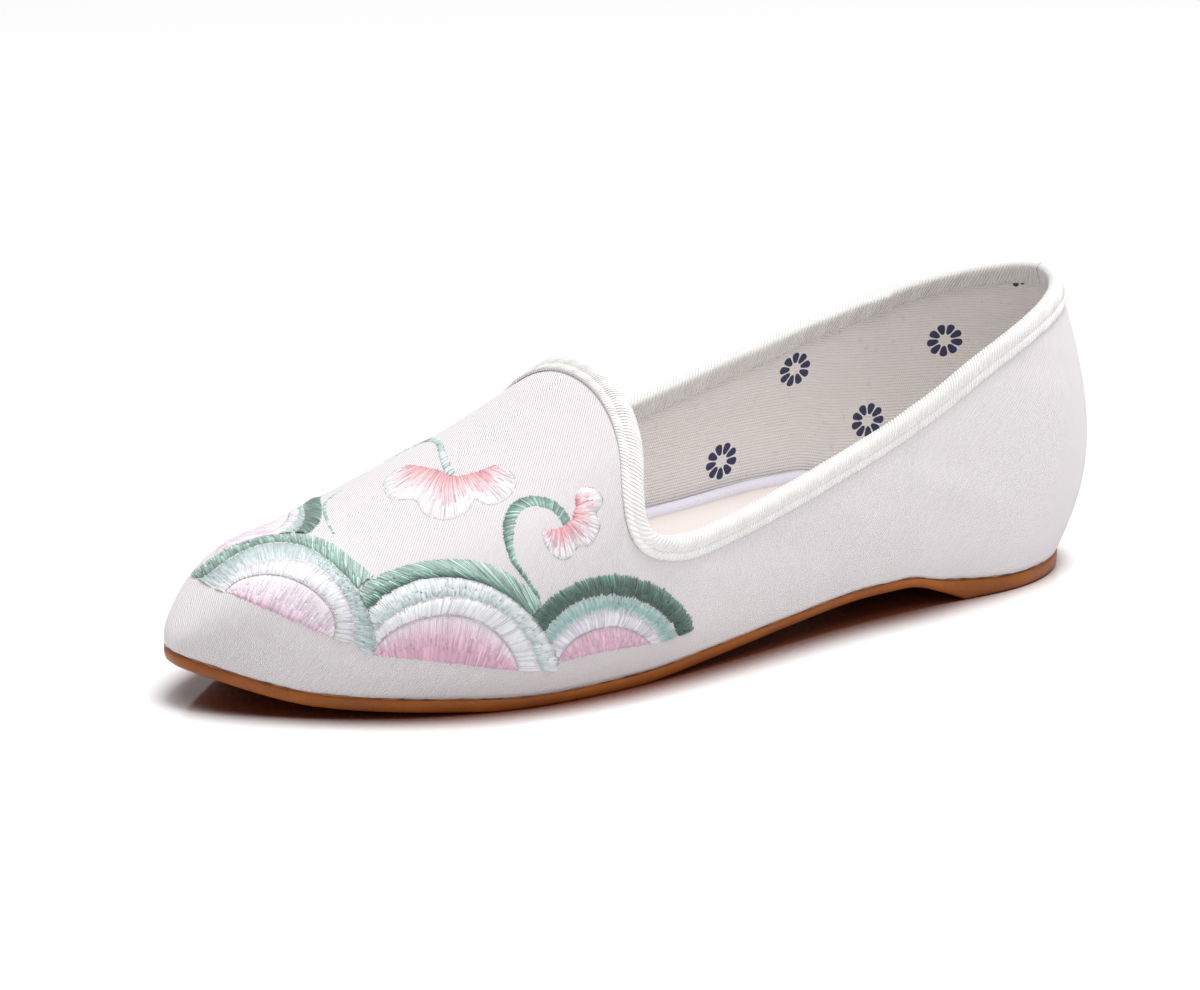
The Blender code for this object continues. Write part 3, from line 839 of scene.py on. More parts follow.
def upper_sheet(name, scale, rows, lift, thickness, look, creased=True):
    """One layer of the upper, from the sole edge to the collar and over the ridge, at a lift from the skin."""
    points, faces, places = [], [], []
    start = 0
    for side in (1, -1):
        a, v = upper_grid(side, scale, rows)
        if creased:
            place = cloth(side * a, v, lift)
        else:
            place = skin(side * a, v) + lift * normal(side * a, v)
        quads = grid_faces(*a.shape, start=start)
        points.append(place.reshape(-1, 3))
        places.append(cloth_place(a, v, side).reshape(-1, 2))
        faces.append(quads if side > 0 else quads[:, ::-1])
        start += a.size
    made = made_mesh(name, np.concatenate(points), faces, look, uv=np.concatenate(places), weld=True)
    return wall(made, thickness)


upper_cloth = upper_sheet("upper_cloth", 5, 60, 0.0, FACE, FACE_CLOTH)
upper_lining = upper_sheet("upper_lining", 3, 40, LINING_LIFT, LINING, LINING_CLOTH, creased=False)


# Collar tape

RIB_PITCH = 0.00105
RIB_LEAN = 0.0018       # length across the tape over which a rib moves on by one pitch
JOIN = 0.160            # share of the length at which the tape's ends meet
TAPE_STEPS = (560, 250)     # steps along one side of the collar, and along one half of the tongue


def tape_profile():
    """Section of the tape, (distance down from the collar line, distance out from the skin), in mm.

    A puffed roll over the cloth's edge, a stitched groove below it, and a flat lower band on both sides.
    """
    wall_in = -CLOTH / MM
    leaf = OUTER_LEAF / MM
    inner_leaf = INNER_LEAF / MM
    outer = [(leaf + 0.05, 0.10), (leaf, 0.50), (leaf - 0.2, 0.78), (4.6, 0.90), (4.0, 0.90), (3.65, 0.80),
             (3.45, 0.66), (3.25, 0.80), (2.8, 1.06), (2.2, 1.24), (1.6, 1.28), (1.0, 1.18), (0.5, 0.90),
             (0.08, 0.42)]
    over = [(-0.28, -0.15), (-0.38, -0.90), (-0.26, -1.65)]
    inner = [(0.05, wall_in - 0.42), (0.5, wall_in - 0.76), (1.1, wall_in - 0.92), (1.9, wall_in - 0.96),
             (2.7, wall_in - 0.92), (3.4, wall_in - 0.88), (4.1, wall_in - 0.86), (4.7, wall_in - 0.84),
             (inner_leaf - 0.02, wall_in - 0.64), (inner_leaf + 0.04, wall_in - 0.10)]
    back = [(4.0, wall_in - 0.05), (2.5, wall_in - 0.05), (1.1, wall_in - 0.05), (0.9, -0.9),
            (1.1, 0.05), (2.5, 0.05), (4.4, 0.05)]
    return np.array(outer + over + inner + back) * MM


def collar_lengths(ring_a, ring_v):
    """Length along the closed collar line from the heel back."""
    points = skin(ring_a, ring_v)
    step = np.linalg.norm(np.roll(points, -1, axis=0) - points, axis=1)
    return np.concatenate([[0], np.cumsum(step)[:-1]]), step.sum()


def tape_ring():
    """Tape folded over the collar all the way round: the profile carried along the collar line, with its
    slanting ribs raised, and thickened where its two ends are joined on the right side."""
    ring_a, ring_v = collar_ring(*TAPE_STEPS)
    length, whole = collar_lengths(ring_a, ring_v)
    share = share_of(ring_a)
    join = length[np.argmin(np.abs(share - JOIN) + (ring_a > 0) * 9)]
    profile = tape_profile()
    girth = np.concatenate([[0], np.cumsum(np.linalg.norm(np.diff(profile, axis=0), axis=1))])
    ribs = round(whole / RIB_PITCH)
    rows = []
    for (distance, out), along in zip(profile, girth):
        a, v = down_from(ring_a, ring_v, distance)
        puff = (0.4 * np.exp(-((length - join) / 0.0036) ** 2)
                + 0.5 * np.exp(-((length - join - 0.003) / 0.0012) ** 2))
        wave = np.sin(TURN * (ribs * length / whole + along / RIB_LEAN))
        outward = 1.0 if out > -CLOTH / 2 else -1.0
        bare = 0.05 * MM < out or out < -CLOTH - 0.08 * MM
        uneven = 0.04 * np.sin(length / 0.017 + along / 0.002) + 0.03 * np.sin(length / 0.0061)
        lift = outward * bare * MM * (0.075 * wave + uneven + puff)
        place = skin(a, v)
        rows.append(place + (out + lift + relief(place))[:, None] * normal(a, v))
    points = np.stack(rows)
    uv = np.stack(np.broadcast_arrays(length[None, :] / MM, girth[:, None] / MM), -1)
    faces = tube_faces(*points.shape[:2])[:, ::-1]
    return made_mesh("collar_tape", points, [faces], TAPE_CLOTH, uv=uv, sharp=70)


collar_tape = tape_ring()


# Embroidery

DEEP_MINT = (152, 190, 185)
WHITE = (250, 251, 252)
LILAC = (222, 216, 228)
ROSE = (250, 194, 198)
BLOSSOM_WHITE = (250, 240, 243)
STITCH_POINTS = 7
SUNK = 0.04             # depth of a stitch's ends in the cloth, mm


def chart(share, v, side=1):
    """Flat chart touching the skin at one point: origin, two axes, and where it starts."""
    a = side * a_of(share)
    v = np.asarray(float(v))
    along, climb = tangents(a, v)
    out = unit(np.cross(climb, along))
    first = unit(along)
    second = np.cross(out, first)
    if second[2] < 0:
        second = -second
    return skin(a, v), first, second, a, v


def on_skin(flat, xy):
    """(a, v) of the skin points that stand over chart places in mm, by Newton steps."""
    origin, first, second, a0, v0 = flat
    a = np.full(xy.shape[:-1], float(a0))
    v = np.full(xy.shape[:-1], float(v0))
    for _ in range(14):
        gap = skin(a, v) - origin
        ex = xy[..., 0] * MM - gap @ first
        ey = xy[..., 1] * MM - gap @ second
        along, climb = tangents(a, v)
        ax, ay, cx, cy = along @ first, along @ second, climb @ first, climb @ second
        det = ax * cy - ay * cx
        det = np.where(np.abs(det) < 1e-9, 1e-9, det)
        a = a + np.clip((ex * cy - ey * cx) / det, -0.03, 0.03)
        v = v + np.clip((ey * ax - ex * ay) / det, -0.08, 0.08)
        a = np.clip(a, -0.995, 0.995)
        v = np.clip(v, 0.005, 1.9)
    return a, v


def on_chart(flat, place):
    """Chart place in mm of points in space."""
    origin, first, second = flat[:3]
    gap = place - origin
    return np.stack([gap @ first, gap @ second], -1) / MM


def smooth(points, count, degree=None):
    """Even points of a smooth curve: a least-squares polynomial, or a spline through the points."""
    points = np.array(points, float)
    chord = np.linalg.norm(np.diff(points, axis=0), axis=1)
    t = np.concatenate([[0], np.cumsum(chord)]) / chord.sum()
    fine = np.linspace(0, 1, 240)
    if degree:
        line = np.stack([np.polyval(np.polyfit(t, points[:, i], degree), fine) for i in (0, 1)], -1)
    else:
        line = np.stack([hermite(t, points[:, i], slopes(t, points[:, i], False), fine) for i in (0, 1)], -1)
    run = np.concatenate([[0], np.cumsum(np.linalg.norm(np.diff(line, axis=0), axis=1))])
    at = np.linspace(0, run[-1], count)
    return np.stack([np.interp(at, run, line[:, i]) for i in (0, 1)], -1)


def path_length(points):
    """Length of a polyline."""
    return np.linalg.norm(np.diff(np.array(points, float), axis=0), axis=1).sum()


def inside(ring, xy):
    """Which places lie inside a closed ring, by counting crossings."""
    ring = np.array(ring, float)
    x, y = xy[..., 0], xy[..., 1]
    hit = np.zeros(x.shape, bool)
    for (x0, y0), (x1, y1) in zip(ring, np.roll(ring, -1, axis=0)):
        with np.errstate(divide="ignore", invalid="ignore"):
            hit ^= ((y0 > y) != (y1 > y)) & (x < (x1 - x0) * (y - y0) / (y1 - y0) + x0)
    return hit


def blend_colours(stops, t):
    """Colour ramp: stops of (place, colour), read at t in linear light."""
    where = [stop[0] for stop in stops]
    shades = np.array([linear(stop[1]) for stop in stops])
    return np.stack([np.interp(t, where, shades[:, i]) for i in range(3)], -1)


def shade(stops, t):
    """Colour of a ramp in 0 to 255."""
    where = [stop[0] for stop in stops]
    return tuple(float(np.interp(t, where, [stop[1][i] for stop in stops])) for i in range(3))


class Embroidery:
    """Collects straight stitches, each from one chart place to another, and lays them on the cloth."""

    def __init__(self):
        self.lots = []

    def stitches(self, flat, start, end, stops, width=0.35, lift=0.30, jitter=0.24, tone=0.32, keep_out=(),
                 across=None):
        """Stitches from start (n, 2) to end (n, 2) in mm; their ends are uneven by jitter, and what falls
        inside a keep-out ring of another chart is cut away. The padding under a band gives its height: a
        round bank over the places across the band, from 0 to 1, at which a stitch starts and ends."""
        n = len(start)
        k = STITCH_POINTS
        run = end - start
        size = np.linalg.norm(run, axis=1, keepdims=True) + 1e-9
        away = run / size
        slip = dice.normal(0, jitter, (n, 2))
        start = start + away * slip[:, :1] * np.minimum(1, size / 2)
        end = end + away * slip[:, 1:] * np.minimum(1, size / 2)
        t = np.linspace(0, 1, k)
        xy = start[:, None, :] + t[None, :, None] * (end - start)[:, None, :]
        a, v = on_skin(flat, xy)
        shown = np.ones((n, k), bool)
        for other, ring in keep_out:
            shown &= ~inside(ring, on_chart(other, skin(a, v)))
        if float(flat[3]) < 0:
            shown &= v < 1.0
        count = shown.sum(axis=1)
        first = np.argmax(shown, axis=1)
        last = k - 1 - np.argmax(shown[:, ::-1], axis=1)
        live = count >= 2
        if not live.all() or (count < k).any():
            share = t[None, :] * ((last - first) / (k - 1))[:, None] + (first / (k - 1))[:, None]
            xy = start[:, None, :] + share[..., None] * (end - start)[:, None, :]
            a, v = on_skin(flat, xy)
            xy, a, v, share = xy[live], a[live], v[live], share[live]
        else:
            share = np.broadcast_to(t, (n, k))
        n = len(a)
        if n == 0:
            return
        length = np.linalg.norm(xy[:, -1] - xy[:, 0], axis=1)[:, None]
        arch = 1 - np.abs(2 * t - 1) ** 4
        if across is None:
            raised = (lift * (1 + dice.normal(0, 0.10, (n, 1)))) * np.clip(length / 1.5, 0.5, 1.0)
            height = (-SUNK + (raised + SUNK) * arch[None, :]) * MM
        else:
            bank = 1 - np.abs(2 * (across[0] + (across[1] - across[0]) * share) - 1) ** 2.6
            height = (-SUNK + (lift * (1 + dice.normal(0, 0.06, (n, 1))) + SUNK) * bank) * MM
            height = height + (0.10 * arch[None, :] - 0.06) * MM * (bank > 0.3)
        out = normal(a, v)
        centre = cloth(a, v, height)
        wide = width * MM * (1 + dice.normal(0, 0.08, (n, 1))) * (0.55 + 0.45 * arch[None, :] ** 0.5)
        paint = blend_colours(stops, share) * np.exp(dice.normal(0, tone, (n, 1, 1)))
        self.lots.append((centre, out, np.broadcast_to(wide, (n, k)), np.clip(paint, 0, 1)))

    def band(self, flat, inner, outer, stops, pitch=0.30, rows=1, reach=0.62, **more):
        """Satin band between two edges; with two rows the second comes back from the outer edge."""
        count = max(int(max(path_length(inner), path_length(outer)) / pitch), 4)
        low = smooth(inner, count, 6)
        high = smooth(outer, count, 6)
        if rows == 1:
            self.stitches(flat, low, high, stops, across=(0, 1), **more)
            return
        lengths = dice.uniform(reach - 0.14, reach + 0.14, (len(low), 2))
        middle = low + (high - low) * lengths[:, :1]
        inner_stops = [(i / 4, shade(stops, i / 4 * reach)) for i in range(5)]
        self.stitches(flat, low, middle, inner_stops, across=(0, reach), **more)
        middle = high + (low - high) * lengths[:, 1:]
        outer_stops = [(i / 4, shade(stops, 1 - i / 4 * reach)) for i in range(5)]
        more["lift"] += 0.05
        self.stitches(flat, high, middle, outer_stops, across=(1, 1 - reach), **more)

    def line(self, flat, path, colour, width, step, lift, **more):
        """Running outline of short stitches along a path."""
        count = max(int(path_length(path) / step), 2)
        points = smooth(path, count + 1)
        ease = (points[1:] - points[:-1]) * 0.12
        self.stitches(flat, points[:-1] - ease, points[1:] + ease, [(0, colour), (1, colour)],
                      width=width, lift=lift, jitter=0.06, **more)

    def make(self, name):
        """Puts the collected stitches into one mesh."""
        parts = [np.concatenate([lot[i] for lot in self.lots]) for i in range(4)]
        return strands(name, *parts, FLOSS)


# Outlines of the three scallops on their own charts, mm; the first point of each is toe-ward
TOE_SCALLOP = {
    "base": ((23.9, 12.2), (14.8, 3.0), (2.1, -5.5), (-9.4, -11.5), (-13.5, -13.1), (-18.0, -15.1)),
    "green_out": ((25.6, 15.0), (16.6, 18.8), (7.8, 21.3), (-1.9, 19.9), (-12.9, 10.0), (-20.0, 1.4),
                  (-22.6, -5.0)),
    "green_in": ((23.2, 11.4), (12.4, 15.4), (3.2, 17.3), (-7.1, 10.2), (-16.3, -2.4), (-18.6, -8.8),
                 (-18.4, -15.2)),
    "mint_in": ((17.9, 5.4), (11.4, 8.4), (6.6, 9.7), (-2.8, 8.7), (-10.0, 2.5), (-14.2, -5.9), (-13.5, -12.9)),
    "white_in": ((14.8, 3.0), (9.6, 5.3), (2.4, 4.5), (-5.5, -0.2), (-9.3, -4.5), (-10.5, -8.0), (-9.4, -11.5)),
}
MIDDLE_SCALLOP = {
    "base": ((19.6, -1.8), (2.4, -6.8), (-13.6, -11.8), (-18.7, -12.8), (-22.9, -13.9)),
    "green_out": ((26.4, 4.0), (23.6, 9.0), (19.5, 12.4), (15.0, 14.3), (6.4, 15.9), (-2.6, 16.0), (-9.1, 14.5),
                  (-13.3, 12.4), (-17.2, 9.0), (-21.1, 4.1)),
    "green_in": ((21.4, -1.4), (20.4, 4.0), (18.2, 7.4), (14.6, 9.9), (7.3, 12.2), (-0.9, 12.2), (-9.1, 10.1),
                 (-14.3, 5.6), (-17.9, 1.6), (-21.0, -4.7), (-22.9, -10.2), (-23.0, -14.0)),
    "mint_in": ((19.6, -1.8), (18.4, 1.6), (15.6, 4.4), (8.2, 7.7), (0, 8.2), (-8.3, 5.8), (-13.2, 1.7),
                (-16.2, -3.3), (-18.5, -10.7), (-18.8, -12.9)),
    "white_in": ((18.2, -2.3), (16.2, 0.8), (13.2, 2.6), (6.6, 4.4), (-0.3, 4.3), (-6.7, 1.6), (-10.6, -3.0),
                 (-12.9, -6.9), (-13.7, -11.6)),
}
BALL_SCALLOP = {
    "base": ((15.4, -4.8), (0.6, -6.4), (-11.8, -8.3), (-14.6, -9.4), (-19.9, -10.4), (-25.1, -9.9)),
    "green_out": ((22.4, -4.0), (21.6, 2.4), (18.8, 7.0), (14.8, 10.0), (9.4, 11.8), (3.9, 12.9), (-2.8, 12.2),
                  (-10.4, 8.6), (-17.6, 3.4), (-22.6, -3.1), (-24.8, -9.8)),
    "green_in": ((18.0, -4.6), (17.2, 0.4), (14.5, 4.2), (8.9, 7.3), (2.4, 8.2), (-5.3, 6.0), (-12.0, 1.5),
                 (-17.1, -4.1), (-19.9, -9.9)),
    "mint_in": ((15.4, -4.8), (13.8, -0.6), (9.8, 2.7), (3.3, 4.0), (-3.7, 2.8), (-9.8, -1.3), (-13.3, -5.7),
                (-14.6, -9.4)),
    "white_in": ((12.9, -5.2), (12.3, -4.1), (7.6, -0.1), (2.3, 0.1), (-4.1, -1.5), (-8.8, -5.0),
                 (-11.8, -8.5)),
}
LARGE_BLOSSOM = {
    "throat": ((4.2, 20.0), (2.2, 14.2), (0.8, 7.5), (-0.6, 2.4), (-4.0, 0.0), (-8.0, -1.8)),
    "rim": ((5.4, 22.3), (10.8, 21.2), (13.9, 15.2), (14.0, 6.6), (11.6, 3.0), (12.5, -4.0), (11.7, -8.5),
            (10.0, -11.3), (6.9, -12.5), (3.8, -11.8), (1.5, -9.8), (0.1, -13.9), (-3.5, -15.1), (-7.0, -13.8),
            (-9.2, -10.4), (-9.3, -5.9)),
}
SMALL_BLOSSOM = {
    "throat": ((-5.2, 3.8), (-2.9, 1.2), (0.1, -0.5), (2.6, -0.3), (5.0, 0.9)),
    "rim": ((-7.2, 5.0), (-9.6, 4.3), (-10.7, 1.9), (-9.4, -0.7), (-7.0, -1.8), (-6.9, -3.3), (-4.6, -6.0),
            (-1.4, -7.0), (1.0, -6.1), (3.2, -7.1), (6.0, -6.4), (7.2, -3.9), (6.9, -0.9), (5.9, 1.4)),
}
STEM = {
    "share": (0.707, 0.716, 0.724, 0.722, 0.714, 0.702, 0.688, 0.677, 0.669, 0.666),
    "v": (0.303, 0.382, 0.477, 0.563, 0.631, 0.672, 0.669, 0.634, 0.579, 0.520),
}


def ring_of(shape, edge, drop=2.5):
    """Closed ring of a scallop out to one of its edges, and a little below its base."""
    return np.concatenate([smooth(shape[edge], 40, 6), smooth(shape["base"], 12, 3)[::-1] - [0, drop]])


def scallop(bands, fills, flat, shape, side, outside, tones, narrow):
    """One scallop: green, mint and white satin bands round a pink fill with a mauve outline.

    The pink is laid in three rows, each over the last. Narrow gives a small mint and white their share of
    the way in from the green's inner edge.
    """
    curve = {key: np.array(points) * [side, 1] for key, points in shape.items()}
    if narrow:
        edge = smooth(curve["green_in"], 40, 6)
        for key in ("mint_in", "white_in"):
            curve[key] = edge + (smooth(curve[key], 40, 5) - edge) * narrow
    bands.band(flat, curve["green_in"], curve["green_out"], tones["green"], rows=2, lift=0.58,
               keep_out=outside["green"])
    bands.band(flat, curve["mint_in"], curve["green_in"], tones["mint"], rows=2, lift=0.42, tone=0.12,
               keep_out=outside["mint"])
    fills.band(flat, curve["white_in"], curve["mint_in"], tones["white"], lift=0.38, tone=0.16,
               keep_out=outside["mint"])
    base = smooth(curve["base"], 60, 3)
    i, j = [np.argmin(np.linalg.norm(base - curve["white_in"][end], axis=1)) for end in (0, -1)]
    low = base[min(i, j):max(i, j) + 1]
    if i > j:
        low = low[::-1]
    count = int(path_length(low) / 0.33)
    low = smooth(low, count)
    high = smooth(curve["white_in"], count, 5)
    for start, end, lift in ((0.45, 1.0, 0.24), (0.22, 0.72, 0.29), (0.0, 0.42, 0.33)):
        first = low + (high - low) * (start + dice.uniform(-0.12, 0.12, (count, 1)) * (start > 0))
        last = low + (high - low) * (end + dice.uniform(-0.12, 0.12, (count, 1)) * (end < 1))
        stops = [(i / 3, shade(tones["pink"], start + (end - start) * i / 3)) for i in range(4)]
        fills.stitches(flat, first, last, stops, width=0.40, lift=lift, jitter=0.14, tone=0.12)
    fills.line(flat, high, (204, 180, 195), width=0.26, step=1.0, lift=0.36, tone=0.12)


def blossom(work, flat, shape, pitch):
    """Fan of long and short stitches: white to the rim, rose over it, coral at the throat, and a grey rim."""
    count = int(path_length(shape["rim"]) / pitch)
    low = smooth(shape["throat"], count)
    high = smooth(shape["rim"], count)
    for start, end, spread, stops, lift in (
            (0.42, 1.00, 0.06, [(0, (250, 222, 228)), (0.5, BLOSSOM_WHITE), (1, (246, 244, 245))], 0.20),
            (0.20, 0.78, 0.14, [(0, ROSE), (1, (249, 226, 234))], 0.25),
            (0.00, 0.52, 0.16, [(0, (232, 148, 154)), (0.6, (244, 190, 196)), (1, (250, 218, 223))], 0.34)):
        reach = 1.0 if end == 1.0 else end + dice.uniform(-spread, spread, (count, 1))
        begin = start + dice.uniform(-0.08, 0.08, (count, 1)) * (start > 0)
        first = low + (high - low) * begin
        last = low + (high - low) * reach
        work.stitches(flat, first, last, stops, width=0.38, lift=lift, jitter=0.22, tone=0.26)
    work.line(flat, shape["rim"], (200, 194, 198), width=0.22, step=0.9, lift=0.15)


def stem(work, flat, path, wide, stops, **more):
    """Narrow satin stem across a path; wide gives its width in mm at even places along it."""
    count = int(path_length(path) / 0.30)
    line = smooth(path, count)
    run = np.gradient(line, axis=0)
    run /= np.linalg.norm(run, axis=1, keepdims=True)
    side = np.column_stack([-run[:, 1], run[:, 0]])
    half = np.interp(np.linspace(0, 1, count), np.linspace(0, 1, len(wide)), wide)[:, None] / 2
    lean = run * half * 0.5
    work.stitches(flat, line - side * half - lean, line + side * half + lean, stops, jitter=0.14, **more)


# Tones of each band from its inner edge (0) to its outer edge (1), and of the pink from the base up
TONES = {
    "toe": {
        "green": [(0, (96, 134, 120)), (0.2, (154, 186, 173)), (1, (184, 208, 199))],
        "mint": [(0, (226, 236, 236)), (0.5, (206, 221, 221)), (0.85, (186, 207, 204)), (1, (150, 178, 173))],
        "white": [(0, WHITE), (0.6, WHITE), (1, LILAC)],
        "pink": [(0, (220, 162, 194)), (0.14, (246, 220, 233)), (0.30, (249, 230, 240)), (1, (250, 240, 246))]},
    "middle": {
        "green": [(0, (58, 94, 84)), (0.22, (98, 138, 125)), (0.5, (152, 184, 172)), (1, (184, 208, 199))],
        "mint": [(0, (186, 208, 206)), (0.25, (226, 237, 237)), (1, (246, 250, 251))],
        "white": [(0, WHITE), (1, WHITE)],
        "pink": [(0, (228, 178, 200)), (0.45, (236, 192, 211)), (0.8, (249, 226, 235)), (1, (251, 234, 241))]},
    "ball": {
        "green": [(0, (40, 72, 62)), (0.5, (62, 98, 87)), (1, (112, 146, 134))],
        "mint": [(0, (212, 230, 227)), (0.45, DEEP_MINT), (1, (200, 224, 220))],
        "white": [(0, (236, 230, 240)), (1, (232, 230, 238))],
        "pink": [(0, (226, 182, 200)), (1, (238, 198, 214))]},
}
FAR_TOE_GREEN = [(0, (118, 148, 138)), (0.4, (98, 128, 118)), (1, (118, 148, 138))]
# Scallop: its outlines, and its chart's (share, v) on the outer and on the inner side
SCALLOPS = {
    "toe": (TOE_SCALLOP, (0.915, 0.60), (0.873, 0.70)),
    "middle": (MIDDLE_SCALLOP, (0.79, 0.25), (0.750, 0.25)),
    "ball": (BALL_SCALLOP, (0.64, 0.14), (0.600, 0.14)),
}


def waves():
    """The three scallops on the outer side, then mirrored on the inner side, each cut away where others lie."""
    bands, fills = Embroidery(), Embroidery()
    near_toe = []
    for side in (1, -1):
        flats = {name: chart(*(outer if side > 0 else inner), side)
                 for name, (_, outer, inner) in SCALLOPS.items()}

        def ring(name, edge):
            """Chart of a scallop, and its ring out to an edge."""
            return flats[name], ring_of(SCALLOPS[name][0], edge) * [side, 1]

        toe_mint = ring("toe", "green_in")
        middle_mint = ring("middle", "green_in")
        outside = {
            "toe": {"green": [ring("middle", "green_out")] + near_toe, "mint": near_toe},
            "middle": {"green": [toe_mint, ring("ball", "green_out")], "mint": [toe_mint]},
            "ball": {"green": [middle_mint], "mint": [middle_mint]},
        }
        for name, (shape, _, _) in SCALLOPS.items():
            far_toe = side < 0 and name == "toe"
            tones = {**TONES[name], "green": FAR_TOE_GREEN} if far_toe else TONES[name]
            scallop(bands, fills, flats[name], shape, side, outside[name], tones, 0.5 if far_toe else None)
        near_toe = [ring("toe", "green_out")]
    return [bands.make("wave_bands"), fills.make("wave_fills")]


def skin_path(flat, shares, levels):
    """Path on a chart through places of the outer side, given as shares of the length and levels v."""
    return on_chart(flat, skin(a_of(shares), np.array(levels)))


def blossoms_and_stems():
    """Both blossoms, their stems, the far stem over the ridge and the loose curl near the toe."""
    flowers, stalks = Embroidery(), Embroidery()
    crown = chart(0.72, 0.90)
    blossom(flowers, crown, LARGE_BLOSSOM, 0.33)
    blossom(flowers, chart(0.666, 0.52), SMALL_BLOSSOM, 0.30)
    low = chart(0.70, 0.50)
    stem(stalks, low, skin_path(low, STEM["share"], STEM["v"]), (1.0, 1.1, 1.6, 2.6, 3.3, 3.4, 2.9, 2.4),
         [(0, (96, 136, 123)), (1, (160, 190, 178))])
    stem(stalks, crown, ((0.3, 4.4), (-0.6, 9.0), (-2.2, 14.5), (-4.6, 22.0)), (2.4, 2.3, 2.0, 1.8),
         [(0, (186, 210, 206)), (0.5, (214, 230, 228)), (1, (196, 218, 214))])
    far = chart(0.70, 1.20)
    stem(stalks, far, skin_path(far, (0.696, 0.689, 0.690, 0.702, 0.716, 0.724),
                                (1.10, 1.17, 1.24, 1.30, 1.36, 1.46)),
         (1.7, 1.7, 1.5, 1.2), [(0, (188, 214, 208)), (1, (206, 226, 221))])
    over = chart(0.83, 0.99)
    stem(stalks, over, skin_path(over, (0.841, 0.832, 0.818, 0.802, 0.786),
                                 (0.944, 1.026, 1.122, 1.189, 1.208)),
         (0.7, 0.9, 1.0, 0.8), [(0, (150, 184, 174)), (1, (178, 204, 196))], lift=0.22)
    return [flowers.make("blossoms"), stalks.make("stems")]


embroidery = waves() + blossoms_and_stems()


# Footbed, sock and sole

FOOTBED_STEPS = 150
SOLE_STEPS = 190
SOCK_ROWS = 25
SOCK_DISH = 0.0009
BEAD = 0.00021          # radius of the cement line that also carries the joint's painted shade, and how far it sits in and down
BEAD_IN = 0.00005
BEAD_DOWN = 0.00012


def shares_along(steps):
    """Shares of the length, closer together at the ends and along the heel's breast."""
    even = share_of(np.linspace(0, 1, steps + 1))
    breast = BREAST + BREAST_RUN * np.linspace(0, 1, 14) ** 1.5
    clear = even[np.min(np.abs(even[:, None] - breast[None, :]), axis=1) > 0.001]
    return np.sort(np.concatenate([clear, breast]))


def side_place(share, rise):
    """v at which the skin stands the given rise over the sole edge."""
    levels = np.linspace(0, 0.45, 91)
    a = a_of(share)
    height = skin(a[:, None], levels[None, :])[..., 2] - edge_height(share)[:, None]
    return np.array([np.interp(one, row, levels) for one, row in zip(rise, height)])


def there_and_back(values):
    """Values of a closed ring from those of one side."""
    return np.concatenate([values, values[-2:0:-1]])


def edge_ring(share):
    """Closed ring of the sole edge: its numbers a, its points, the runs past them and level inward normals."""
    a = a_of(share)
    ring_a = np.concatenate([a, -a[-2:0:-1]])
    foot = skin(ring_a, np.zeros(len(ring_a)))
    line = np.roll(foot, -1, axis=0) - np.roll(foot, 1, axis=0)
    inward = unit(np.stack([line[:, 1], -line[:, 0], 0 * line[:, 0]], -1))
    return ring_a, foot, line, inward


def inset_ring(share, inset, rise):
    """Closed ring round the sole edge, moved in by inset, following the wall's flare up to rise."""
    ring_a, _, _, inward = edge_ring(share)
    place = skin(ring_a, there_and_back(side_place(share, rise)))
    return (place + inset * inward)[:, :2], there_and_back(share)


def slab(name, rows, look, steps=FOOTBED_STEPS, sharp=50):
    """Closed body from stacked rings; each row is (inset, rise over the sole edge, height over the floor)."""
    share = shares_along(steps)
    rings = []
    for inset, rise, height in rows:
        place, ring_share = inset_ring(share, inset, rise(share))
        rings.append(np.column_stack([place, height(ring_share)]))
    points = np.stack(rings)
    levels, count = points.shape[:2]
    sides = grid_faces(levels, count, wrap=True)[:, ::-1]
    i = np.arange(1, len(share) - 2)
    across = np.stack([i, i + 1, count - i - 1, count - i], -1)
    end = np.array([[0, 1, count - 1], [len(share) - 2, len(share) - 1, len(share)]])
    top = (levels - 1) * count
    faces = [sides, across, across[:, ::-1] + top, end, end[:, ::-1] + top]
    return made_mesh(name, points, faces, look, uv=points[..., :2] / MM, sharp=sharp)


def none(share):
    """No rise."""
    return np.zeros(np.shape(share))


def footbed_rise(share):
    """Height of the footbed's outer edge over the sole."""
    return FOOTBED_RISE * read(FOOTBED, "rise", share, monotone=True)


def footbed_floor(share):
    """Height of the footbed's floor, inside its border."""
    return edge_height(share) + footbed_rise(share) * (1 - BORDER_RISE / FOOTBED_RISE)


def part_way(portion, extra=0.0):
    """Height at a portion of the footbed's rise, plus an extra."""
    return lambda share: edge_height(share) + footbed_rise(share) * portion + extra


def rise_part(portion):
    """Rise at a portion of the footbed's rise."""
    return lambda share: footbed_rise(share) * portion


def border():
    """Footbed with its soft rolled border: the edge swells, turns over and falls to the sock."""
    inset = CLOTH + FOOTBED_EASE
    rows = [(inset, none, part_way(0.0, 0.00015)), (inset, rise_part(0.5), part_way(0.5)),
            (inset, rise_part(0.9), part_way(0.93))]
    crown = ((0.0003, 0.00), (0.0009, 0.0004), (0.0017, 0.0005), (0.0026, 0.0002), (0.0034, -0.0006))
    for step, extra in crown:
        rows.append((inset + step, rise_part(1.0), part_way(1.0, extra)))
    rows.append((inset + BORDER_WIDTH, rise_part(1.0), footbed_floor))
    return slab("footbed_border", rows, BORDER_CLOTH)


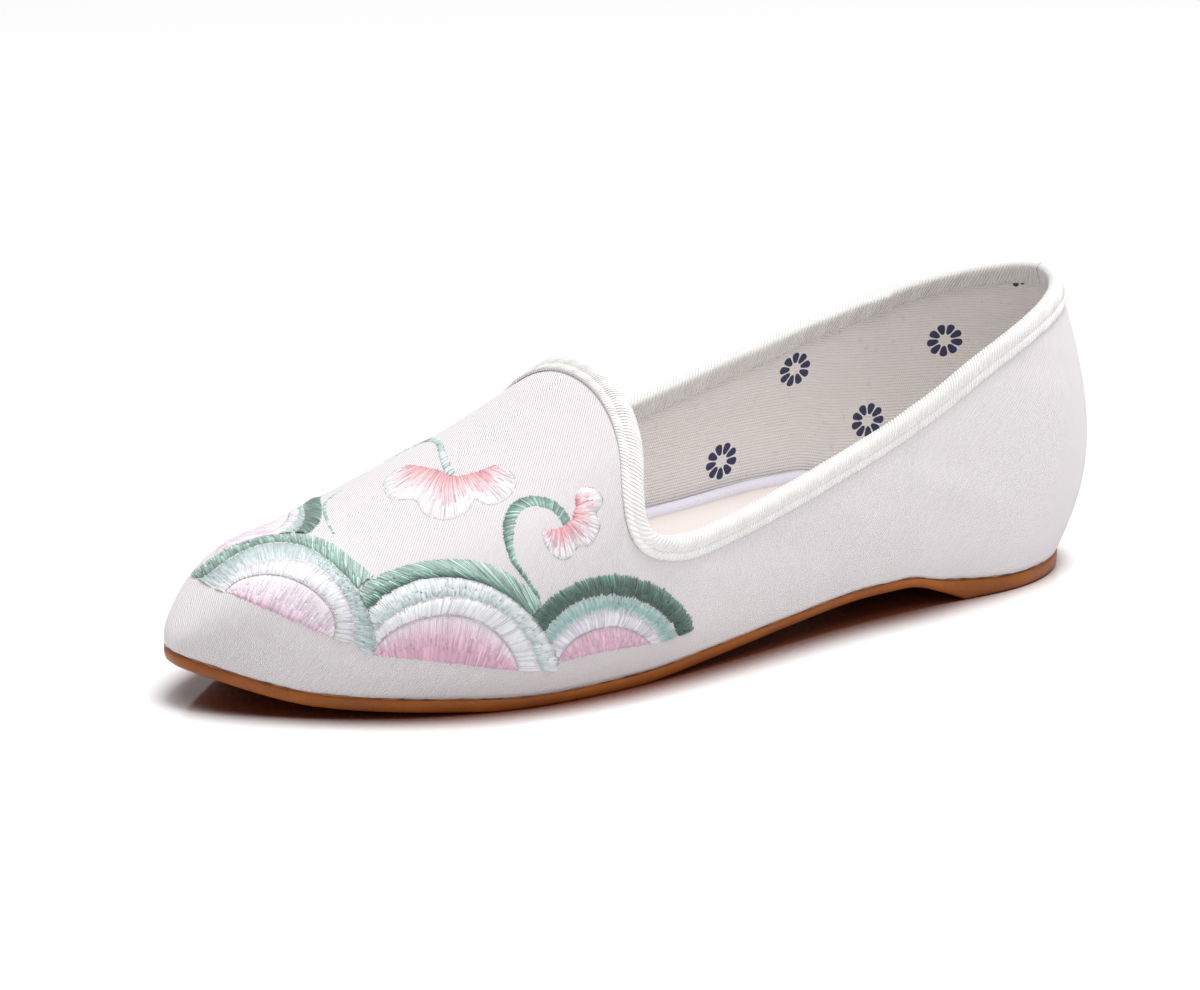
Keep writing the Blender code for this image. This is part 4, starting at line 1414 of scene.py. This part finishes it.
def sock_sheet():
    """Sock inside the border: straight rows from edge to edge, dished a little along the middle."""
    share = shares_along(FOOTBED_STEPS)
    place, _ = inset_ring(share, CLOTH + FOOTBED_EASE + BORDER_WIDTH + GAP, footbed_rise(share))
    count = len(share)
    left = place[:count]
    right = np.concatenate([place[:1], place[:count - 1:-1], place[count - 1:count]])
    q = np.linspace(0, 1, SOCK_ROWS)[None, :, None]
    flat = left[:, None, :] * (1 - q) + right[:, None, :] * q
    dish = -SOCK_DISH * np.sin(math.pi * q[..., 0]) ** 0.8 * np.sin(math.pi * share[:, None]) ** 0.5
    z = (footbed_floor(share) + GAP + SOCK)[:, None] + dish
    points = np.concatenate([flat, z[..., None]], -1)
    made = made_mesh("sock_cloth", points, [grid_faces(count, SOCK_ROWS)], SOCK_CLOTH, uv=flat / MM, weld=True)
    return wall(made, SOCK)


def sole():
    """Moulded sole: rounded lower edge, slightly swelling side, and a small lip under the cloth."""
    def low(extra):
        """Height a little over the underside."""
        return lambda share: underside(share) + extra

    def between(portion):
        """Height at a portion of the way up the side."""
        return lambda share: underside(share) + (edge_height(share) - underside(share)) * portion

    rows = ((0.0010, low(0.0)), (0.00045, low(0.00012)), (0.00015, low(0.0004)), (-0.00005, low(0.0009)),
            (-0.00020, between(0.45)), (-0.00025, between(0.68)), (-0.00010, between(0.86)),
            (0.0002, between(0.94)), (0.0012, between(0.955)))
    rows = [(inset, none, height) for inset, height in rows]
    return slab("sole_moulding", rows, RUBBER, steps=SOLE_STEPS, sharp=60)


def cement_and_shade_line():
    """Thin uneven bead where cloth and sole meet, a small round section carried round the sole edge; it is the
    cement, and also the painted shade of the joint.
    """
    _, foot, line, inward = edge_ring(shares_along(SOLE_STEPS))
    run = np.cumsum(np.linalg.norm(line, axis=1)) / 2
    size = BEAD + 0.00006 * np.sin(run / 0.0023) + 0.00005 * np.sin(run / 0.00071 + 1)
    up = np.array([0, 0, 1.0])
    points = np.stack([foot + size[:, None] * (math.cos(w) * inward + math.sin(w) * up) + inward * BEAD_IN
                       for w in np.linspace(0, TURN, 7)[:-1]])
    points[..., 2] -= BEAD_DOWN
    return made_mesh("cement_and_shade_line", points, [tube_faces(*points.shape[:2])], CEMENT_AND_SHADE)


footbed_border = border()
sock_cloth_piece = sock_sheet()
sole_moulding = sole()
cement_and_shade = cement_and_shade_line()

for piece, node in ((upper_cloth, "upper"), (collar_tape, "collar_binding"), (footbed_border, "footbed"),
                    (sock_cloth_piece, "sock"), (sole_moulding, "outsole")):
    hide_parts(node)
for piece, slot in ((upper_cloth, "upper"), (upper_lining, "upper"), (collar_tape, "collar_binding"),
                    (footbed_border, "footbed"), (sock_cloth_piece, "sock"), (sole_moulding, "outsole"),
                    (cement_and_shade, "outsole"), *[(piece, "upper") for piece in embroidery]):
    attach(piece, "root")


# Floor, light and camera

FLOOR_REACH = 6.0


def floor():
    """Plain pale floor with a faint gloss, and a painted shadow: darker close under the forefoot and waist,
    less so at the heel, in a brown that is a painted reflection of the sole.
    """
    g = material("floor", Roughness=0.10, Specular_IOR_Level=0.75)
    # Painted shadow and painted reflection: the floor colour goes from white to dark brown where ambient
    # occlusion is high near the shoe, eased off behind the heel and past the toe.
    hidden = g.value("ShaderNodeAmbientOcclusion", None, 0.024, output="AO")
    x = g.parts(g.object_place())[0]
    free = hidden + x.ramp(-0.11, -0.05).rest() * 0.24 + x.ramp(0.07, 0.12) * 0.10
    made = finished(g, g.mix(free.ramp(0.46, 0.84), (112, 60, 44), (253, 253, 254)))
    points = np.array([[-1, -1, 0], [1, -1, 0], [1, 1, 0], [-1, 1, 0]]) * FLOOR_REACH
    ground = made_mesh("floor", points, [np.array([[0, 1, 2, 3]])], made)


def matrix_of(side, up, back, place):
    """Matrix of a lamp or camera from its axes and its place."""
    matrix = np.eye(4)
    matrix[:3] = np.stack([side, up, back, place], axis=-1)
    return Matrix(matrix.tolist())


def camera():
    """Camera at the photograph's angle."""
    data = bpy.data.cameras.new("photo_camera")
    data.lens = 106.1
    data.sensor_width = 36
    data.clip_start = 0.01
    data.clip_end = 50
    made = placed("photo_camera", data)
    made.matrix_world = matrix_of((-0.86857, 0.49520, -0.01924), (-0.15126, -0.22794, 0.96185),
                                  (0.47192, 0.83835, 0.27288), (0.41670, 0.71309, 0.26680))
    bpy.context.scene.camera = made


def studio():
    """White surroundings, a broad light over the shoe, and a softer square one in front, facing the opening."""
    world = bpy.data.worlds.new("studio")
    bpy.context.scene.world = world
    bpy.context.scene.view_settings.view_transform = "Standard"
    world.use_nodes = True
    background = world.node_tree.nodes["Background"].inputs
    background["Color"].default_value = (1, 1, 1, 1)
    background["Strength"].default_value = 0.60
    sun = bpy.data.lights.new("over", "SUN")
    sun.energy = 2.3
    sun.angle = math.radians(30)
    placed("over", sun).rotation_euler = (0, math.radians(-10), 0)
    square = bpy.data.lights.new("front", "AREA")
    square.shape = "SQUARE"
    square.size = 0.35
    square.energy = 1.8
    place = np.array((-0.1, 0.45, 0.8))
    back = unit(place - (-0.03, -0.03, 0.05))
    side = unit(np.cross((0.01, 0.02, 1.0), back))
    placed("front", square).matrix_world = matrix_of(side, np.cross(back, side), back, place)


floor()
studio()
camera()
